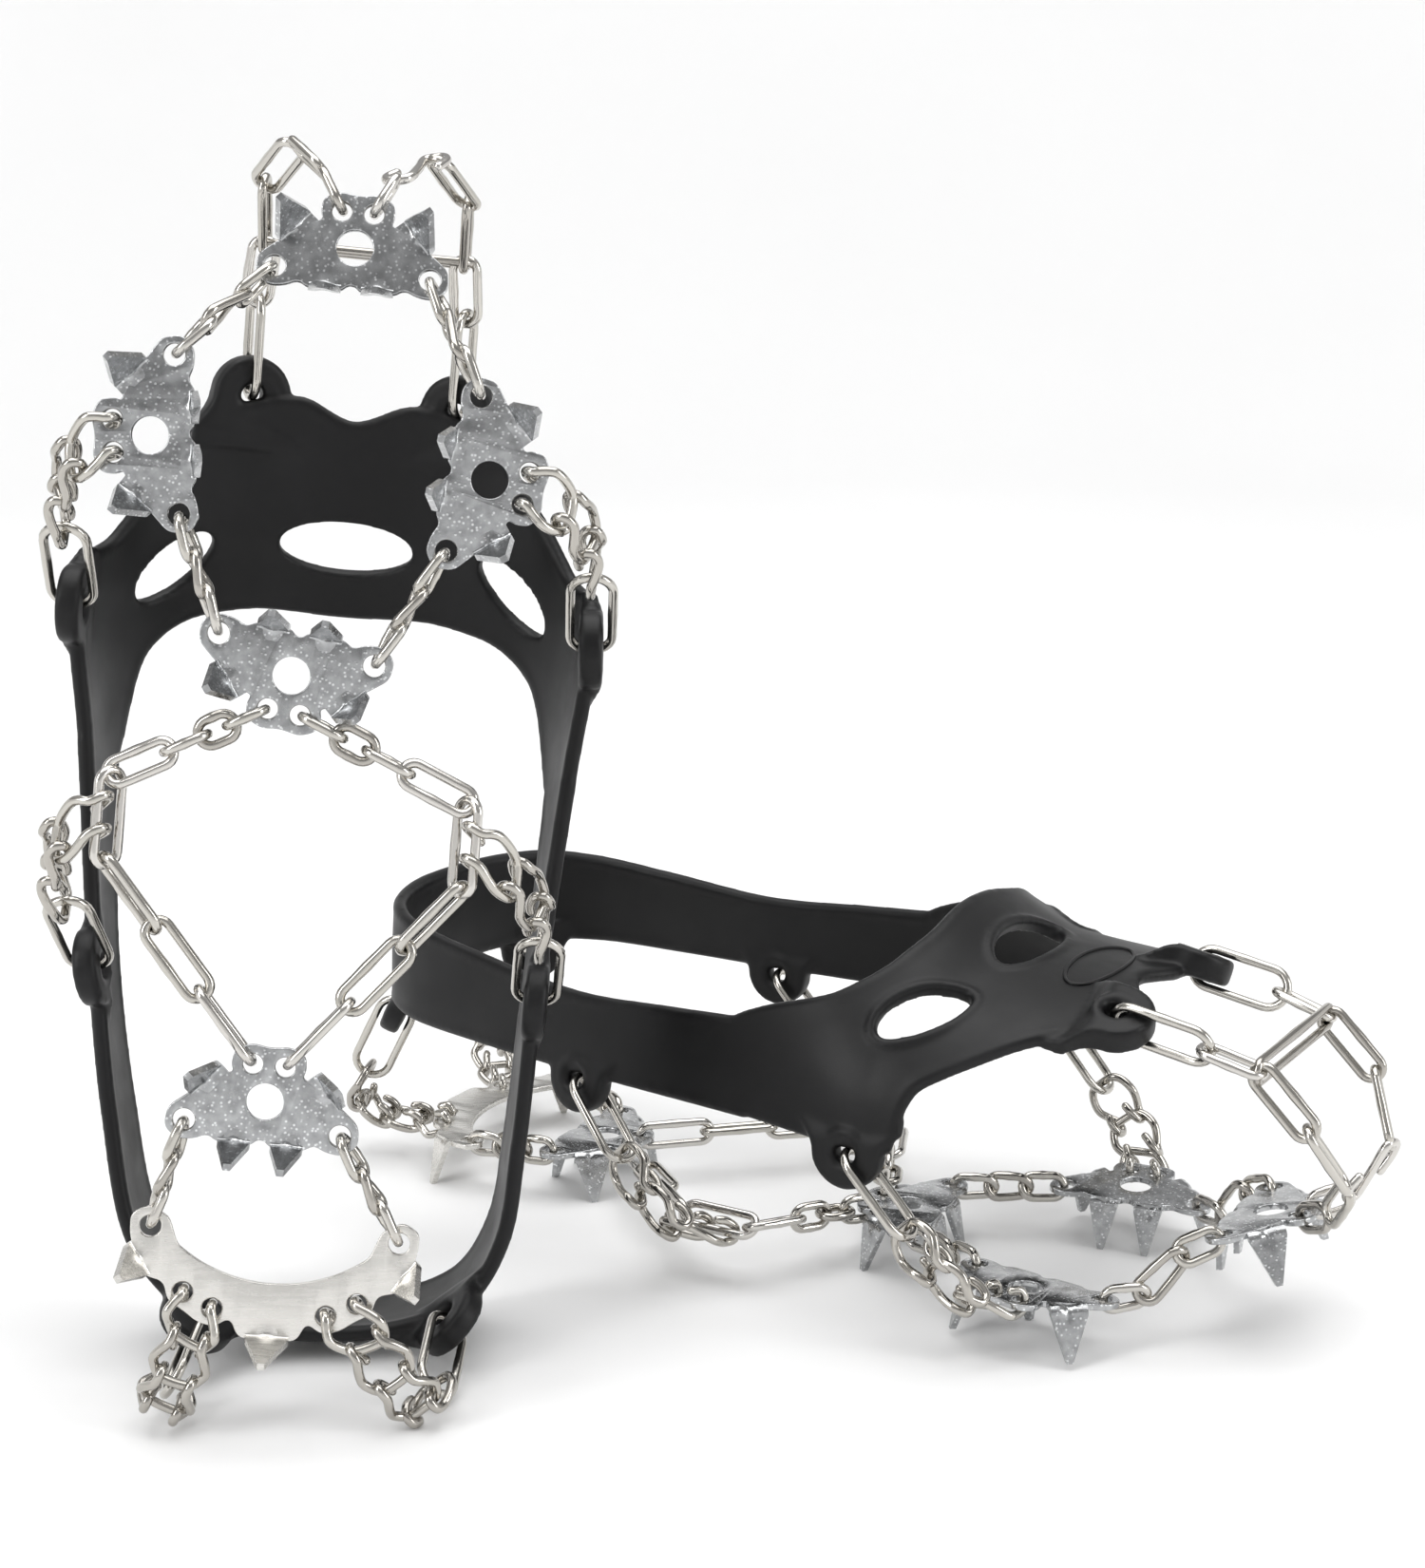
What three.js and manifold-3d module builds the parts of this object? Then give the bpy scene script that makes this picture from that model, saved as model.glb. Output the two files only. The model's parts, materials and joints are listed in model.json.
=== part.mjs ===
// A pair of stretch-on shoe ice cleats. The two are the same and fit either foot.
//
// Each cleat is a moulded rubber harness with eight lugs, six stamped spike plates under the
// sole, and a net of oval-link chain, ladder chain and long lug rings between them. One cleat
// lies flat on its spikes. The other stands upright on its heel, its sole outwards.
//
// Units are millimetres. One cleat is built in its own frame: X runs to the toe from the heel
// end of the shoe, Y to its left, Z up from the tips of the spikes.

import * as THREE from 'three';
import { mergeVertices } from 'three/addons/utils/BufferGeometryUtils.js';
import Module from 'manifold-3d';

const wasm = await Module();
wasm.setup();

// ---- driving dimensions ----

const CHAIN_WIRE = 2.3;
const LADDER_WIRE = 2.0;
const LINK_WIDTH = 8.4; // outside, across an oval link
const RING_LENGTH = 28; // outside, of a lug ring
const RING_WIDTH = 12.4;
const RING_GRIP = 2.6; // from a ladder's last bar to the middle of the ring's wire round it
const RING_HOLD = RING_LENGTH - CHAIN_WIRE - RING_GRIP; // from that bar to the eye
const RUNG_HALF_WIDTH = 3.7; // ladder legs at the hooks, and the ear holes they hook into
const RUNG_BULGE = 6.2; // half width of a rung where its legs bow out
const WELD = 0.8; // how far touching wires of one chain run into each other

const SMALLEST_EDGE = 0.1; // slivers where wires meet are tidied down to this
const PLATE_THICKNESS = 1.6;
const SPIKE_LENGTH = 12;
const SPIKE_TIP = 1.6;
const SPIKE_SPLAY = 0.25; // how far the tips lean out, per length
const SOLE_HEIGHT = SPIKE_LENGTH + PLATE_THICKNESS / 2; // middle of a plate above the ground
const EAR = { u: 8.4, v: RUNG_HALF_WIDTH, radius: 2.3 };
const END_HOLE = { u: -6, v: 17.8, radius: 2.5 };
const CENTRE_HOLE_RADIUS = 4.25;

const HARNESS_WALL = 3.6;
const TOE_BENDS = [1.2, -4.3]; // how the chains down from the toe plate bend
const HOOK_SIDE = 1; // the toe chain on this side is closed by an S-hook
const SHOULDER = 50; // height where the shoe's side wall starts to lean in
const EYE_RADIUS = 2.9;
const LUG_RADIUS = 9.3;
const LUG_THICKNESS = 5.6;
const LUG_NECK = 9; // from the eye up into the harness
const TOE_LUG_THICKNESS = 7;
const TOE_LUG_NECK = 11;

// Openings in the instep panel: place along the foot and round it in degrees, size and turn.
const OVAL_HOLES = [
  { x: 201.5, side: 0, length: 12.5, width: 34, turn: 0 },
  { x: 193, side: 45.5, length: 26, width: 10, turn: -50 },
  { x: 193, side: -45.5, length: 26, width: 10, turn: 50 },
];

// Plates under the sole: middle, direction of the ears, and how much the ear side is raised.
const PLATES = {
  toe: { at: [269.5, 0.5, 30], turn: 0, tilt: 12 },
  ball_right: { at: [222, -40.5, SOLE_HEIGHT + 1.2], turn: -96, tilt: 5 },
  ball_left: { at: [219, 36, SOLE_HEIGHT + 1.2], turn: 98, tilt: 5 },
  arch: { at: [171, -4.8, SOLE_HEIGHT], turn: 187, tilt: 0 },
  waist: { at: [73.5, -3, SOLE_HEIGHT], turn: 2, tilt: 0 },
};

// The crescent heel plate, about its own centre line.
const HEEL = {
  y: 1.7,
  ends: { x: 43, y: 28.4 },
  pairs: [
    { x: 28.3, y: 19.9 },
    { x: 25, y: 13 },
  ],
  innerArc: { x: 66.5, radius: 35 },
  rearEdge: 18.5,
};

// Lug eyes on the harness: where each is, and which way its lug faces.
const LUGS = {
  toe_left: { eye: [237, 26, 83], facing: [0.12, 0.36, 0.93] },
  toe_right: { eye: [237, -26, 83], facing: [0.12, -0.36, 0.93] },
  ball_left: { eye: [182, 63, 49], facing: [0.05, 1, 0] },
  ball_right: { eye: [182, -60, 49], facing: [0.05, -1, 0] },
  waist_left: { eye: [96, 57, 49], facing: [-0.03, 1, 0] },
  waist_right: { eye: [96, -49, 49], facing: [-0.08, -1, 0] },
  heel_left: { eye: [17, 43, 47], facing: [-0.68, 0.73, 0] },
  heel_right: { eye: [13, -17.5, 47], facing: [-0.9, -0.43, 0] },
};

// Plan of the harness at the shoulder height, from the left ball lug round the heel.
const BAND_PLAN = [
  [150, 60.5], [96, 57], [60, 56], [36, 54], [21, 46.5], [13.5, 33],
  [10, 14], [11, -9], [17, -24], [30, -35], [60, -43], [96, -49], [150, -55.5],
];
const BAND_STEPS = 18;
const BAND_LOW = 52;
const BAND_WALL = 4.4;
const BAND_HEIGHT = [[0, 27], [60, 21], [96, 18], [123, 19.7], [150, 21.5]];

// Instep panel: its edges and the shoe's height under it, from the centre line to the side.
const PANEL_REAR = [185.5, 186, 183, 173, 146, 118];
const PANEL_FRONT = [231, 236, 233, 214, 196, 192];
const PANEL_SIDE_ANGLE = 88; // degrees from the top of the foot to the panel's lowest row
const PANEL_COLUMNS = 12;
const PANEL_ROWS = 3;
const INSTEP = [[250, 83], [222, 85.5], [203, 88], [187, 97], [165, 110], [140, 124], [100, 138], [0, 140]];
const TOP_FLATNESS = [[187, 1], [225, 0.55]]; // power of the cosine that rounds the top
const FOREFOOT = [[150, 58], [182, 61.5], [205, 59], [222, 54], [240, 46]];
const FOREFOOT_SHIFT = 1.5; // of the forefoot to the left, because the foot is not symmetrical

// How the two cleats stand, in degrees and millimetres.
const UPRIGHT = { turn: 3.8, lean: -9.8, tilt: 5.8, at: [-111.9, -127.3, 7.5] };
const FLAT = { turn: -31, at: [-98.7, 86.1, 0.02] };

// ---- small helpers ----

const UP = new THREE.Vector3(0, 0, 1);

const vector = (list) => new THREE.Vector3(...list);
const radians = THREE.MathUtils.degToRad;
const mix = (a, b, t) => new THREE.Vector3().lerpVectors(a, b, t);

/** Straight-line interpolation in a list of [x, value], for any order of x. */
function table(rows, x) {
  const sorted = [...rows].sort((a, b) => a[0] - b[0]);
  const last = sorted[sorted.length - 1];
  if (x <= sorted[0][0]) return sorted[0][1];
  if (x >= last[0]) return last[1];
  const next = sorted.findIndex((row) => row[0] > x);
  const [x0, v0] = sorted[next - 1];
  const [x1, v1] = sorted[next];
  return v0 + ((v1 - v0) * (x - x0)) / (x1 - x0);
}

/** A closed geometry as a manifold solid. */
function solid(geometry) {
  const merged = mergeVertices(bare(geometry), 1e-4);
  return new wasm.Manifold(new wasm.Mesh({
    numProp: 3,
    vertProperties: new Float32Array(merged.attributes.position.array),
    triVerts: new Uint32Array(merged.index.array),
  }));
}

/** A copy that has only positions, so that equal corners can merge. */
function bare(geometry) {
  const copy = geometry.clone();
  copy.deleteAttribute('normal');
  copy.deleteAttribute('uv');
  return copy;
}

/** The solid's mesh, without slivers. */
function toGeometry(manifold) {
  const bodies = manifold.simplify(SMALLEST_EDGE).decompose();
  const [largest] = bodies.sort((a, b) => b.volume() - a.volume());
  const mesh = largest.getMesh();
  const geometry = new THREE.BufferGeometry();
  geometry.setAttribute('position', new THREE.BufferAttribute(new Float32Array(mesh.vertProperties), 3));
  geometry.setIndex(new THREE.BufferAttribute(new Uint32Array(mesh.triVerts), 1));
  geometry.computeVertexNormals();
  return geometry;
}

const join = (solids) => solids.reduce((sum, next) => sum.add(next));

/** The matrix whose axes are x, y, z and whose origin is at. */
function frame(x, y, z, at) {
  return new THREE.Matrix4().makeBasis(x, y, z).setPosition(at);
}

// ---- wires ----

/** A smooth curve whose steps fall on its own points. */
class WirePath extends THREE.CatmullRomCurve3 {
  getUtoTmapping(u) {
    return u;
  }
}

/** A closed oval in the XY plane, eight steps round: length and width of its centre line. */
class OvalPath extends THREE.Curve {
  constructor(length, width) {
    super();
    this.radius = width / 2;
    this.half = Math.max(length / 2 - this.radius, 0);
  }

  getPoint(t) {
    const steps = 8;
    const angle = 2 * Math.PI * (t + 0.5 / steps);
    const reach = this.radius / Math.cos(Math.PI / steps);
    const x = Math.sign(Math.cos(angle)) * this.half + reach * Math.cos(angle);
    return new THREE.Vector3(x, reach * Math.sin(angle), 0);
  }

  getUtoTmapping(u) {
    return u;
  }
}

const SQUARE_WIRE = 1.12; // corner radius of a four-sided wire, over the round wire's radius

function openWire(points, wire) {
  const corner = (wire / 2) * SQUARE_WIRE;
  const section = new THREE.Shape([0, 1, 2, 3].map((k) => {
    const angle = (k * Math.PI) / 2 + Math.PI / 4;
    return new THREE.Vector2(corner * Math.cos(angle), corner * Math.sin(angle));
  }));
  const extrudePath = new WirePath(points, false, 'centripetal');
  return new THREE.ExtrudeGeometry(section, { steps: points.length - 1, extrudePath, bevelEnabled: false });
}

/** An oval link from a to b, the ends of its centre line; twist turns its plane about its length. */
function oval(a, b, width, wire, up, twist) {
  const along = b.clone().sub(a);
  const length = along.length();
  along.normalize();
  const level = up.clone().cross(along).normalize();
  const across = level.applyAxisAngle(along, radians(twist));
  const normal = along.clone().cross(across);
  const ring = new THREE.TubeGeometry(
    new OvalPath(length, width - wire), 8, (wire / 2) * SQUARE_WIRE, 4, true);
  ring.applyMatrix4(frame(along, across, normal, mix(a, b, 0.5)));
  return solid(ring);
}

/**
 * A chain of oval links joined into one body. Its links meet at the inner points of the list;
 * the first and last point are the middles of the wires that pass through holes.
 */
function chain(points, twists, up) {
  const grip = (CHAIN_WIRE - WELD) / 2;
  return join(twists.map((twist, k) => {
    const along = points[k + 1].clone().sub(points[k]).normalize();
    const a = points[k].clone().addScaledVector(along, k === 0 ? 0 : -grip);
    const b = points[k + 1].clone().addScaledVector(along, k === twists.length - 1 ? 0 : grip);
    return oval(a, b, LINK_WIDTH, CHAIN_WIRE, up, twist);
  }));
}

/** Points that share out the way from a to b in the ratio of the weights. */
function share(a, b, weights) {
  const total = weights.reduce((sum, weight) => sum + weight);
  let done = 0;
  return [a, ...weights.map((weight) => {
    done += weight;
    return mix(a, b, done / total);
  })];
}

/**
 * One ladder rung: a crossbar at bar, bowed legs, and hooks round whatever is at hooked.
 * outward is the side that faces away from the shoe, where the legs pass at the distance legs;
 * reach is the hooks' distance from the middle of what they hold, and past their distance
 * beyond it. The open ends of the hooks lie on the shoe's side. line is the direction from
 * hook to hook, square to the rung unless it is given.
 */
function rung(bar, hooked, outward, { reach, past, legs }, line) {
  const along = hooked.clone().sub(bar);
  const pitch = along.length();
  along.normalize();
  const square = outward.clone().cross(along).normalize();
  const normal = along.clone().cross(square);
  const across = line ? line.clone().normalize() : square;
  const half = [
    [pitch - 2.6, RUNG_HALF_WIDTH - 0.6, -reach],
    [pitch + past, RUNG_HALF_WIDTH, -0.8 * reach],
    [pitch + past, RUNG_HALF_WIDTH, 0.6 * reach],
    [pitch - 0.5 * reach, RUNG_HALF_WIDTH + 0.2, reach],
    [pitch - 5.2, RUNG_BULGE, legs],
    [0.2, RUNG_HALF_WIDTH, 0],
  ];
  const other = half.map(([s, t, n]) => [s, -t, n]).reverse();
  const path = [...half, ...other].map(([s, t, n]) => (
    bar.clone().addScaledVector(along, s).addScaledVector(across, t).addScaledVector(normal, n)));
  return solid(openWire(path, LADDER_WIRE));
}

// ---- stamped plates ----

/** A spike folded down over the edge whose middle is at (u, v) and that faces angle degrees. */
function spike(u, v, angle, width) {
  const direction = radians(angle);
  const length = SPIKE_LENGTH + PLATE_THICKNESS / 2;
  const outline = new THREE.Shape([
    new THREE.Vector2(-width / 2, 0),
    new THREE.Vector2(-SPIKE_TIP / 2, -length),
    new THREE.Vector2(SPIKE_TIP / 2, -length),
    new THREE.Vector2(width / 2, 0),
    new THREE.Vector2(width / 2 - 1, PLATE_THICKNESS / 2),
    new THREE.Vector2(-width / 2 + 1, PLATE_THICKNESS / 2),
  ]);
  const geometry = new THREE.ExtrudeGeometry(outline, { depth: PLATE_THICKNESS, bevelEnabled: false });
  const out = new THREE.Vector3(Math.cos(direction), Math.sin(direction), 0);
  const across = new THREE.Vector3(-out.y, out.x, 0);
  const rise = UP.clone().addScaledVector(out, -SPIKE_SPLAY);
  const at = new THREE.Vector3(u, v, 0).addScaledVector(out, -PLATE_THICKNESS / 2);
  geometry.applyMatrix4(frame(across, rise, out, at));
  return solid(geometry);
}

function round(shape, x, y, radius, steps) {
  const hole = new THREE.Path();
  for (let k = 0; k < steps; k += 1) {
    const angle = (2 * Math.PI * (k + 0.5)) / steps;
    const corner = radius / Math.cos(Math.PI / steps);
    const point = [x + corner * Math.cos(angle), y - corner * Math.sin(angle)];
    if (k === 0) hole.moveTo(...point);
    else hole.lineTo(...point);
  }
  hole.closePath();
  shape.holes.push(hole);
}

function stamping(shape) {
  const geometry = new THREE.ExtrudeGeometry(shape, { depth: PLATE_THICKNESS, bevelEnabled: false });
  geometry.translate(0, 0, -PLATE_THICKNESS / 2);
  return solid(geometry);
}

/** Outline points of half a spike plate, v >= 0, from the ear side to the scalloped side. */
const PLATE_HALF = [
  [12.4, 1.2], [12.9, 4.6], [11, 7.6], [6.8, 9], [0.4, 17.2],
  [-3.4, 21.8], [-8, 22.2], [-10.6, 19], [-10.2, 15], [-8.8, 12.2], [-10.4, 9.8], [-10.4, 2.2],
  [-9, 0.8],
];

function spikePlate() {
  const other = PLATE_HALF.map(([u, v]) => [u, -v]).reverse();
  const outline = [...PLATE_HALF, ...other].map(([u, v]) => new THREE.Vector2(u, v));
  const shape = new THREE.Shape(outline);
  round(shape, 0, 0, CENTRE_HOLE_RADIUS, 8);
  [1, -1].forEach((side) => {
    round(shape, EAR.u, side * EAR.v, EAR.radius, 6);
    round(shape, END_HOLE.u, side * END_HOLE.v, END_HOLE.radius, 6);
  });
  const body = stamping(shape);
  const spikes = [1, -1].flatMap((side) => [
    spike(3.4, side * 13.6, side * 49, 9.6),
    spike(-9.7, side * 6, 180, 7.4),
  ]);
  return join([body, ...spikes]);
}

/** The crescent plate in the cleat's own frame, about the line y = 0. */
function heelPlate() {
  const { ends, pairs, innerArc, rearEdge } = HEEL;
  const inner = [4, 12, 20, 27, 33, 38].map((degrees) => [
    innerArc.x - innerArc.radius * Math.cos(radians(degrees)),
    innerArc.radius * Math.sin(radians(degrees)),
  ]);
  const half = [
    ...inner,
    [ends.x + 2.4, ends.y - 4.2], [ends.x + 4.9, ends.y + 0.5], [ends.x + 2.6, ends.y + 4.6],
    [ends.x - 2.6, ends.y + 4.4], [31.5, 29.2], [30.4, 24.4], [26, 23.2], [24, 19.6],
    [21.6, 16.4], [20.6, 12.4], [23, 8.8], [rearEdge, 6.6],
  ];
  const other = half.map(([x, y]) => [x, -y]).reverse();
  const shape = new THREE.Shape([...half, ...other].map(([x, y]) => new THREE.Vector2(x, y)));
  [1, -1].forEach((side) => {
    round(shape, ends.x, side * ends.y, END_HOLE.radius, 6);
    pairs.forEach((hole) => round(shape, hole.x, side * hole.y, EAR.radius, 6));
  });
  const body = stamping(shape);
  const spikes = [
    spike(rearEdge + 0.7, 0, 180, 10),
    spike(35.4, 30.2, 125, 8.6),
    spike(35.4, -30.2, -125, 8.6),
  ];
  return join([body, ...spikes]);
}

/** The frame of one spike plate: u to its ears, v to their left, normal up. */
function plateFrame({ at, turn, tilt }) {
  const flat = new THREE.Vector3(Math.cos(radians(turn)), Math.sin(radians(turn)), 0);
  const v = new THREE.Vector3(-flat.y, flat.x, 0);
  const u = flat.multiplyScalar(Math.cos(radians(tilt)));
  u.z = Math.sin(radians(tilt));
  return frame(u, v, u.clone().cross(v), vector(at));
}

const holeIn = (plate, hole, side) => (
  new THREE.Vector3(hole.u, side * hole.v, 0).applyMatrix4(plateFrame(PLATES[plate])));

const heelHole = (hole, side) => new THREE.Vector3(hole.x, HEEL.y + side * hole.y, SOLE_HEIGHT);

// ---- the harness ----

const halfWidth = (x, side) => {
  if (x >= FOREFOOT[0][0]) return table(FOREFOOT, x) + FOREFOOT_SHIFT * side;
  const rows = BAND_PLAN.filter(([, y]) => y * side > 0).map(([px, y]) => [px, Math.abs(y)]);
  return table(rows, x);
};

/** How far the shoe's wall leans in at height z above the shoulder. */
function lean(x, y, z) {
  const rise = Math.max(z - SHOULDER, 0) / (table(INSTEP, x) - SHOULDER);
  return Math.abs(y) * (1 - Math.sqrt(1 - rise * rise));
}

/** A point of the shoe's upper: x along it, angle from the top of the foot to its side. */
function skin(x, angle) {
  const side = Math.sign(angle) || 1;
  const y = halfWidth(x, side) * Math.sin(Math.abs(angle)) * side;
  const rise = Math.cos(angle) ** table(TOP_FLATNESS, x);
  return new THREE.Vector3(x, y, SHOULDER + (table(INSTEP, x) - SHOULDER) * rise);
}

function skinNormal(x, angle) {
  const step = 0.01;
  const alongX = skin(x + 1, angle).sub(skin(x - 1, angle));
  const alongAngle = skin(x, angle + step).sub(skin(x, angle - step));
  return alongX.cross(alongAngle).normalize();
}

/** A closed sheet from a grid of points and normals: rows x columns, and its thickness. */
function sheet(grid, thickness) {
  const rows = grid.length;
  const columns = grid[0].length;
  const position = [];
  const index = [];
  [1, -1].forEach((side) => grid.forEach((row) => row.forEach(({ point, normal }) => {
    position.push(...point.clone().addScaledVector(normal, (side * thickness) / 2).toArray());
  })));
  const id = (layer, i, j) => layer * rows * columns + i * columns + j;
  const quad = (a, b, c, d) => index.push(a, c, b, a, d, c);
  for (let i = 0; i + 1 < rows; i += 1) {
    for (let j = 0; j + 1 < columns; j += 1) {
      quad(id(0, i, j), id(0, i + 1, j), id(0, i + 1, j + 1), id(0, i, j + 1));
      quad(id(1, i, j), id(1, i, j + 1), id(1, i + 1, j + 1), id(1, i + 1, j));
    }
    quad(id(0, i, 0), id(1, i, 0), id(1, i + 1, 0), id(0, i + 1, 0));
    quad(id(0, i, columns - 1), id(0, i + 1, columns - 1), id(1, i + 1, columns - 1), id(1, i, columns - 1));
  }
  for (let j = 0; j + 1 < columns; j += 1) {
    quad(id(0, 0, j), id(0, 0, j + 1), id(1, 0, j + 1), id(1, 0, j));
    quad(id(0, rows - 1, j), id(1, rows - 1, j), id(1, rows - 1, j + 1), id(0, rows - 1, j + 1));
  }
  const geometry = new THREE.BufferGeometry();
  geometry.setAttribute('position', new THREE.Float32BufferAttribute(position, 3));
  geometry.setIndex(index);
  return solid(geometry);
}

function instepPanel() {
  const edge = (list, share01) => table(list.map((x, k) => [k / (list.length - 1), x]), share01);
  const grid = [];
  for (let j = 0; j <= PANEL_COLUMNS; j += 1) {
    const across = (2 * j) / PANEL_COLUMNS - 1;
    const angle = radians(PANEL_SIDE_ANGLE) * across;
    const rear = edge(PANEL_REAR, Math.abs(across));
    const front = edge(PANEL_FRONT, Math.abs(across));
    const row = [];
    for (let i = 0; i <= PANEL_ROWS; i += 1) {
      const x = rear + ((front - rear) * i) / PANEL_ROWS;
      row.push({ point: skin(x, angle), normal: skinNormal(x, angle) });
    }
    grid.push(row);
  }
  return sheet(grid, HARNESS_WALL);
}

/** The oval openings of the panel, as cutters along the panel's normal. */
function ovalCutter({ x, side, length, width, turn }) {
  const angle = radians(side);
  const normal = skinNormal(x, angle);
  const along = skin(x + 1, angle).sub(skin(x - 1, angle)).normalize();
  along.applyAxisAngle(normal, radians(turn));
  const outline = new THREE.Shape([...Array(10).keys()].map((k) => {
    const t = (2 * Math.PI * k) / 10;
    return new THREE.Vector2((length / 2) * Math.cos(t), (width / 2) * Math.sin(t));
  }));
  const depth = 30;
  const cutter = new THREE.ExtrudeGeometry(outline, { depth, bevelEnabled: false });
  const at = skin(x, angle).addScaledVector(normal, -depth / 2);
  cutter.applyMatrix4(frame(along, normal.clone().cross(along), normal, at));
  return solid(cutter);
}

function band() {
  const plan = new THREE.CatmullRomCurve3(BAND_PLAN.map(([x, y]) => new THREE.Vector3(x, y, 0)));
  const grid = [];
  for (let k = 0; k <= BAND_STEPS; k += 1) {
    const foot = plan.getPointAt(k / BAND_STEPS);
    const tangent = plan.getTangentAt(k / BAND_STEPS);
    const outward = new THREE.Vector3(-tangent.y, tangent.x, 0).negate();
    const height = table(BAND_HEIGHT, foot.x);
    grid.push([1, 0.5, 0].map((t) => {
      const z = BAND_LOW + height * t;
      const point = foot.clone().addScaledVector(outward, -lean(foot.x, foot.y, z));
      return { point: point.setZ(z), normal: outward };
    }));
  }
  return sheet(grid, BAND_WALL);
}

/** A rounded tongue with an eye, in the plane of the ring that pulls on it. */
function lug(name, neck, thickness, up) {
  const { eye, facing } = LUGS[name];
  const { inner, outer } = ringEnds(name);
  const pull = inner.sub(outer).normalize();
  const outward = vector(facing);
  outward.addScaledVector(pull, -outward.dot(pull)).normalize();
  const across = up.clone().cross(outward).normalize();
  const rise = outward.clone().cross(across);
  const shape = new THREE.Shape();
  shape.moveTo(LUG_RADIUS, neck);
  shape.lineTo(-LUG_RADIUS, neck);
  for (let k = 0; k <= 6; k += 1) {
    const angle = Math.PI + (Math.PI * k) / 6;
    shape.lineTo(LUG_RADIUS * Math.cos(angle), LUG_RADIUS * Math.sin(angle));
  }
  shape.closePath();
  round(shape, 0, 0, EYE_RADIUS, 6);
  const geometry = new THREE.ExtrudeGeometry(shape, { depth: thickness, bevelEnabled: false });
  geometry.translate(0, 0, -thickness / 2);
  geometry.applyMatrix4(frame(across, rise, outward, vector(eye)));
  return solid(geometry);
}

function harness() {
  let body = join([instepPanel(), band()]);
  OVAL_HOLES.forEach((hole) => {
    body = body.subtract(ovalCutter(hole));
  });
  const lugs = Object.keys(LUGS).map((name) => (
    name.startsWith('toe')
      ? lug(name, TOE_LUG_NECK, TOE_LUG_THICKNESS, new THREE.Vector3(-1, 0, 0))
      : lug(name, LUG_NECK, LUG_THICKNESS, UP)));
  return join([body, ...lugs]);
}

// ---- nets, ladders and rings ----

const TOE_PULL = new THREE.Vector3(0.985, 0, -0.17); // from a toe lug's eye along its ring
const TOE_RING_SLACK = -0.4; // the ring's wire behind the middle of the eye

const STRAND_TWISTS = [115, 65, 115]; // neighbouring links lie at 50 degrees to each other

/**
 * Chain between two plate holes: three links that stand nearly on edge, in turn to either side.
 * bends moves the two places where links meet up or down, so a steep chain clears its plates.
 */
function strand(holeA, holeB, bends = [0, 0]) {
  const along = holeB.clone().sub(holeA).normalize();
  const a = holeA.clone().addScaledVector(along, 0.4);
  const b = holeB.clone().addScaledVector(along, -0.4);
  const points = share(a, b, [1.1, 1, 1.1]);
  bends.forEach((bend, k) => {
    points[k + 1].z += bend;
  });
  return chain(points, STRAND_TWISTS, UP);
}

/** The toe chains, from the toe plate's ears up to the lug rings, with the link across. */
function toeNet() {
  const crossing = [];
  const sides = [1, -1].flatMap((side) => {
    const ear = holeIn('toe', EAR, side).add(new THREE.Vector3(0.5, 0, 0));
    const corner = new THREE.Vector3(287, 8.5 * side, 35.6);
    const peak = new THREE.Vector3(294, 16.5 * side, 47);
    const cheek = new THREE.Vector3(286.5, 24.5 * side, 62.5);
    const junction = new THREE.Vector3(273.5, 24.5 * side, 75.3);
    const ringEnd = ringEnds(side > 0 ? 'toe_left' : 'toe_right').inner.addScaledVector(TOE_PULL, -2.8);
    const forward = new THREE.Vector3(1, 0, 0.4);
    const outer = chain([peak, cheek, junction, ringEnd], [20, 95, 5], forward);
    crossing.push(junction);
    const earLink = chain([ear, corner], [90], UP);
    return side === HOOK_SIDE
      ? [outer, earLink, hook(corner, peak)]
      : [outer, earLink, chain([corner, peak], [20], forward)];
  });
  const [a, b] = crossing;
  const across = b.clone().sub(a).normalize();
  const link = oval(
    a.addScaledVector(across, -1.6), b.addScaledVector(across, 1.6), LINK_WIDTH - 1, CHAIN_WIRE, UP, 90);
  return join([...sides, link]);
}

/** The S-shaped hook that closes one toe chain, between two chain ends. */
function hook(a, b) {
  const along = b.clone().sub(a);
  const length = along.length();
  along.normalize();
  const across = along.clone().cross(new THREE.Vector3(1, 0, 0)).normalize();
  const bend = 3.6;
  const path = [
    [4.5, -3.4], [0.5, -3.6], [-1.4, -1], [0.4, bend - 1], [length / 2, 0.4],
    [length - 0.4, 1 - bend], [length + 1.6, 1], [length - 0.5, bend], [length - 6, bend + 1.4],
  ].map(([s, t]) => a.clone().addScaledVector(along, s).addScaledVector(across, t));
  return solid(openWire(path, CHAIN_WIRE));
}

const EDGE_TWIST = 40; // how far the lengthwise link turns its outer side down
const EDGE_LINK = { left: { y: 37.5, z: 14.5 }, right: { y: -43.5, z: 15 }, front: 145, rear: 125.5 };

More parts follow.
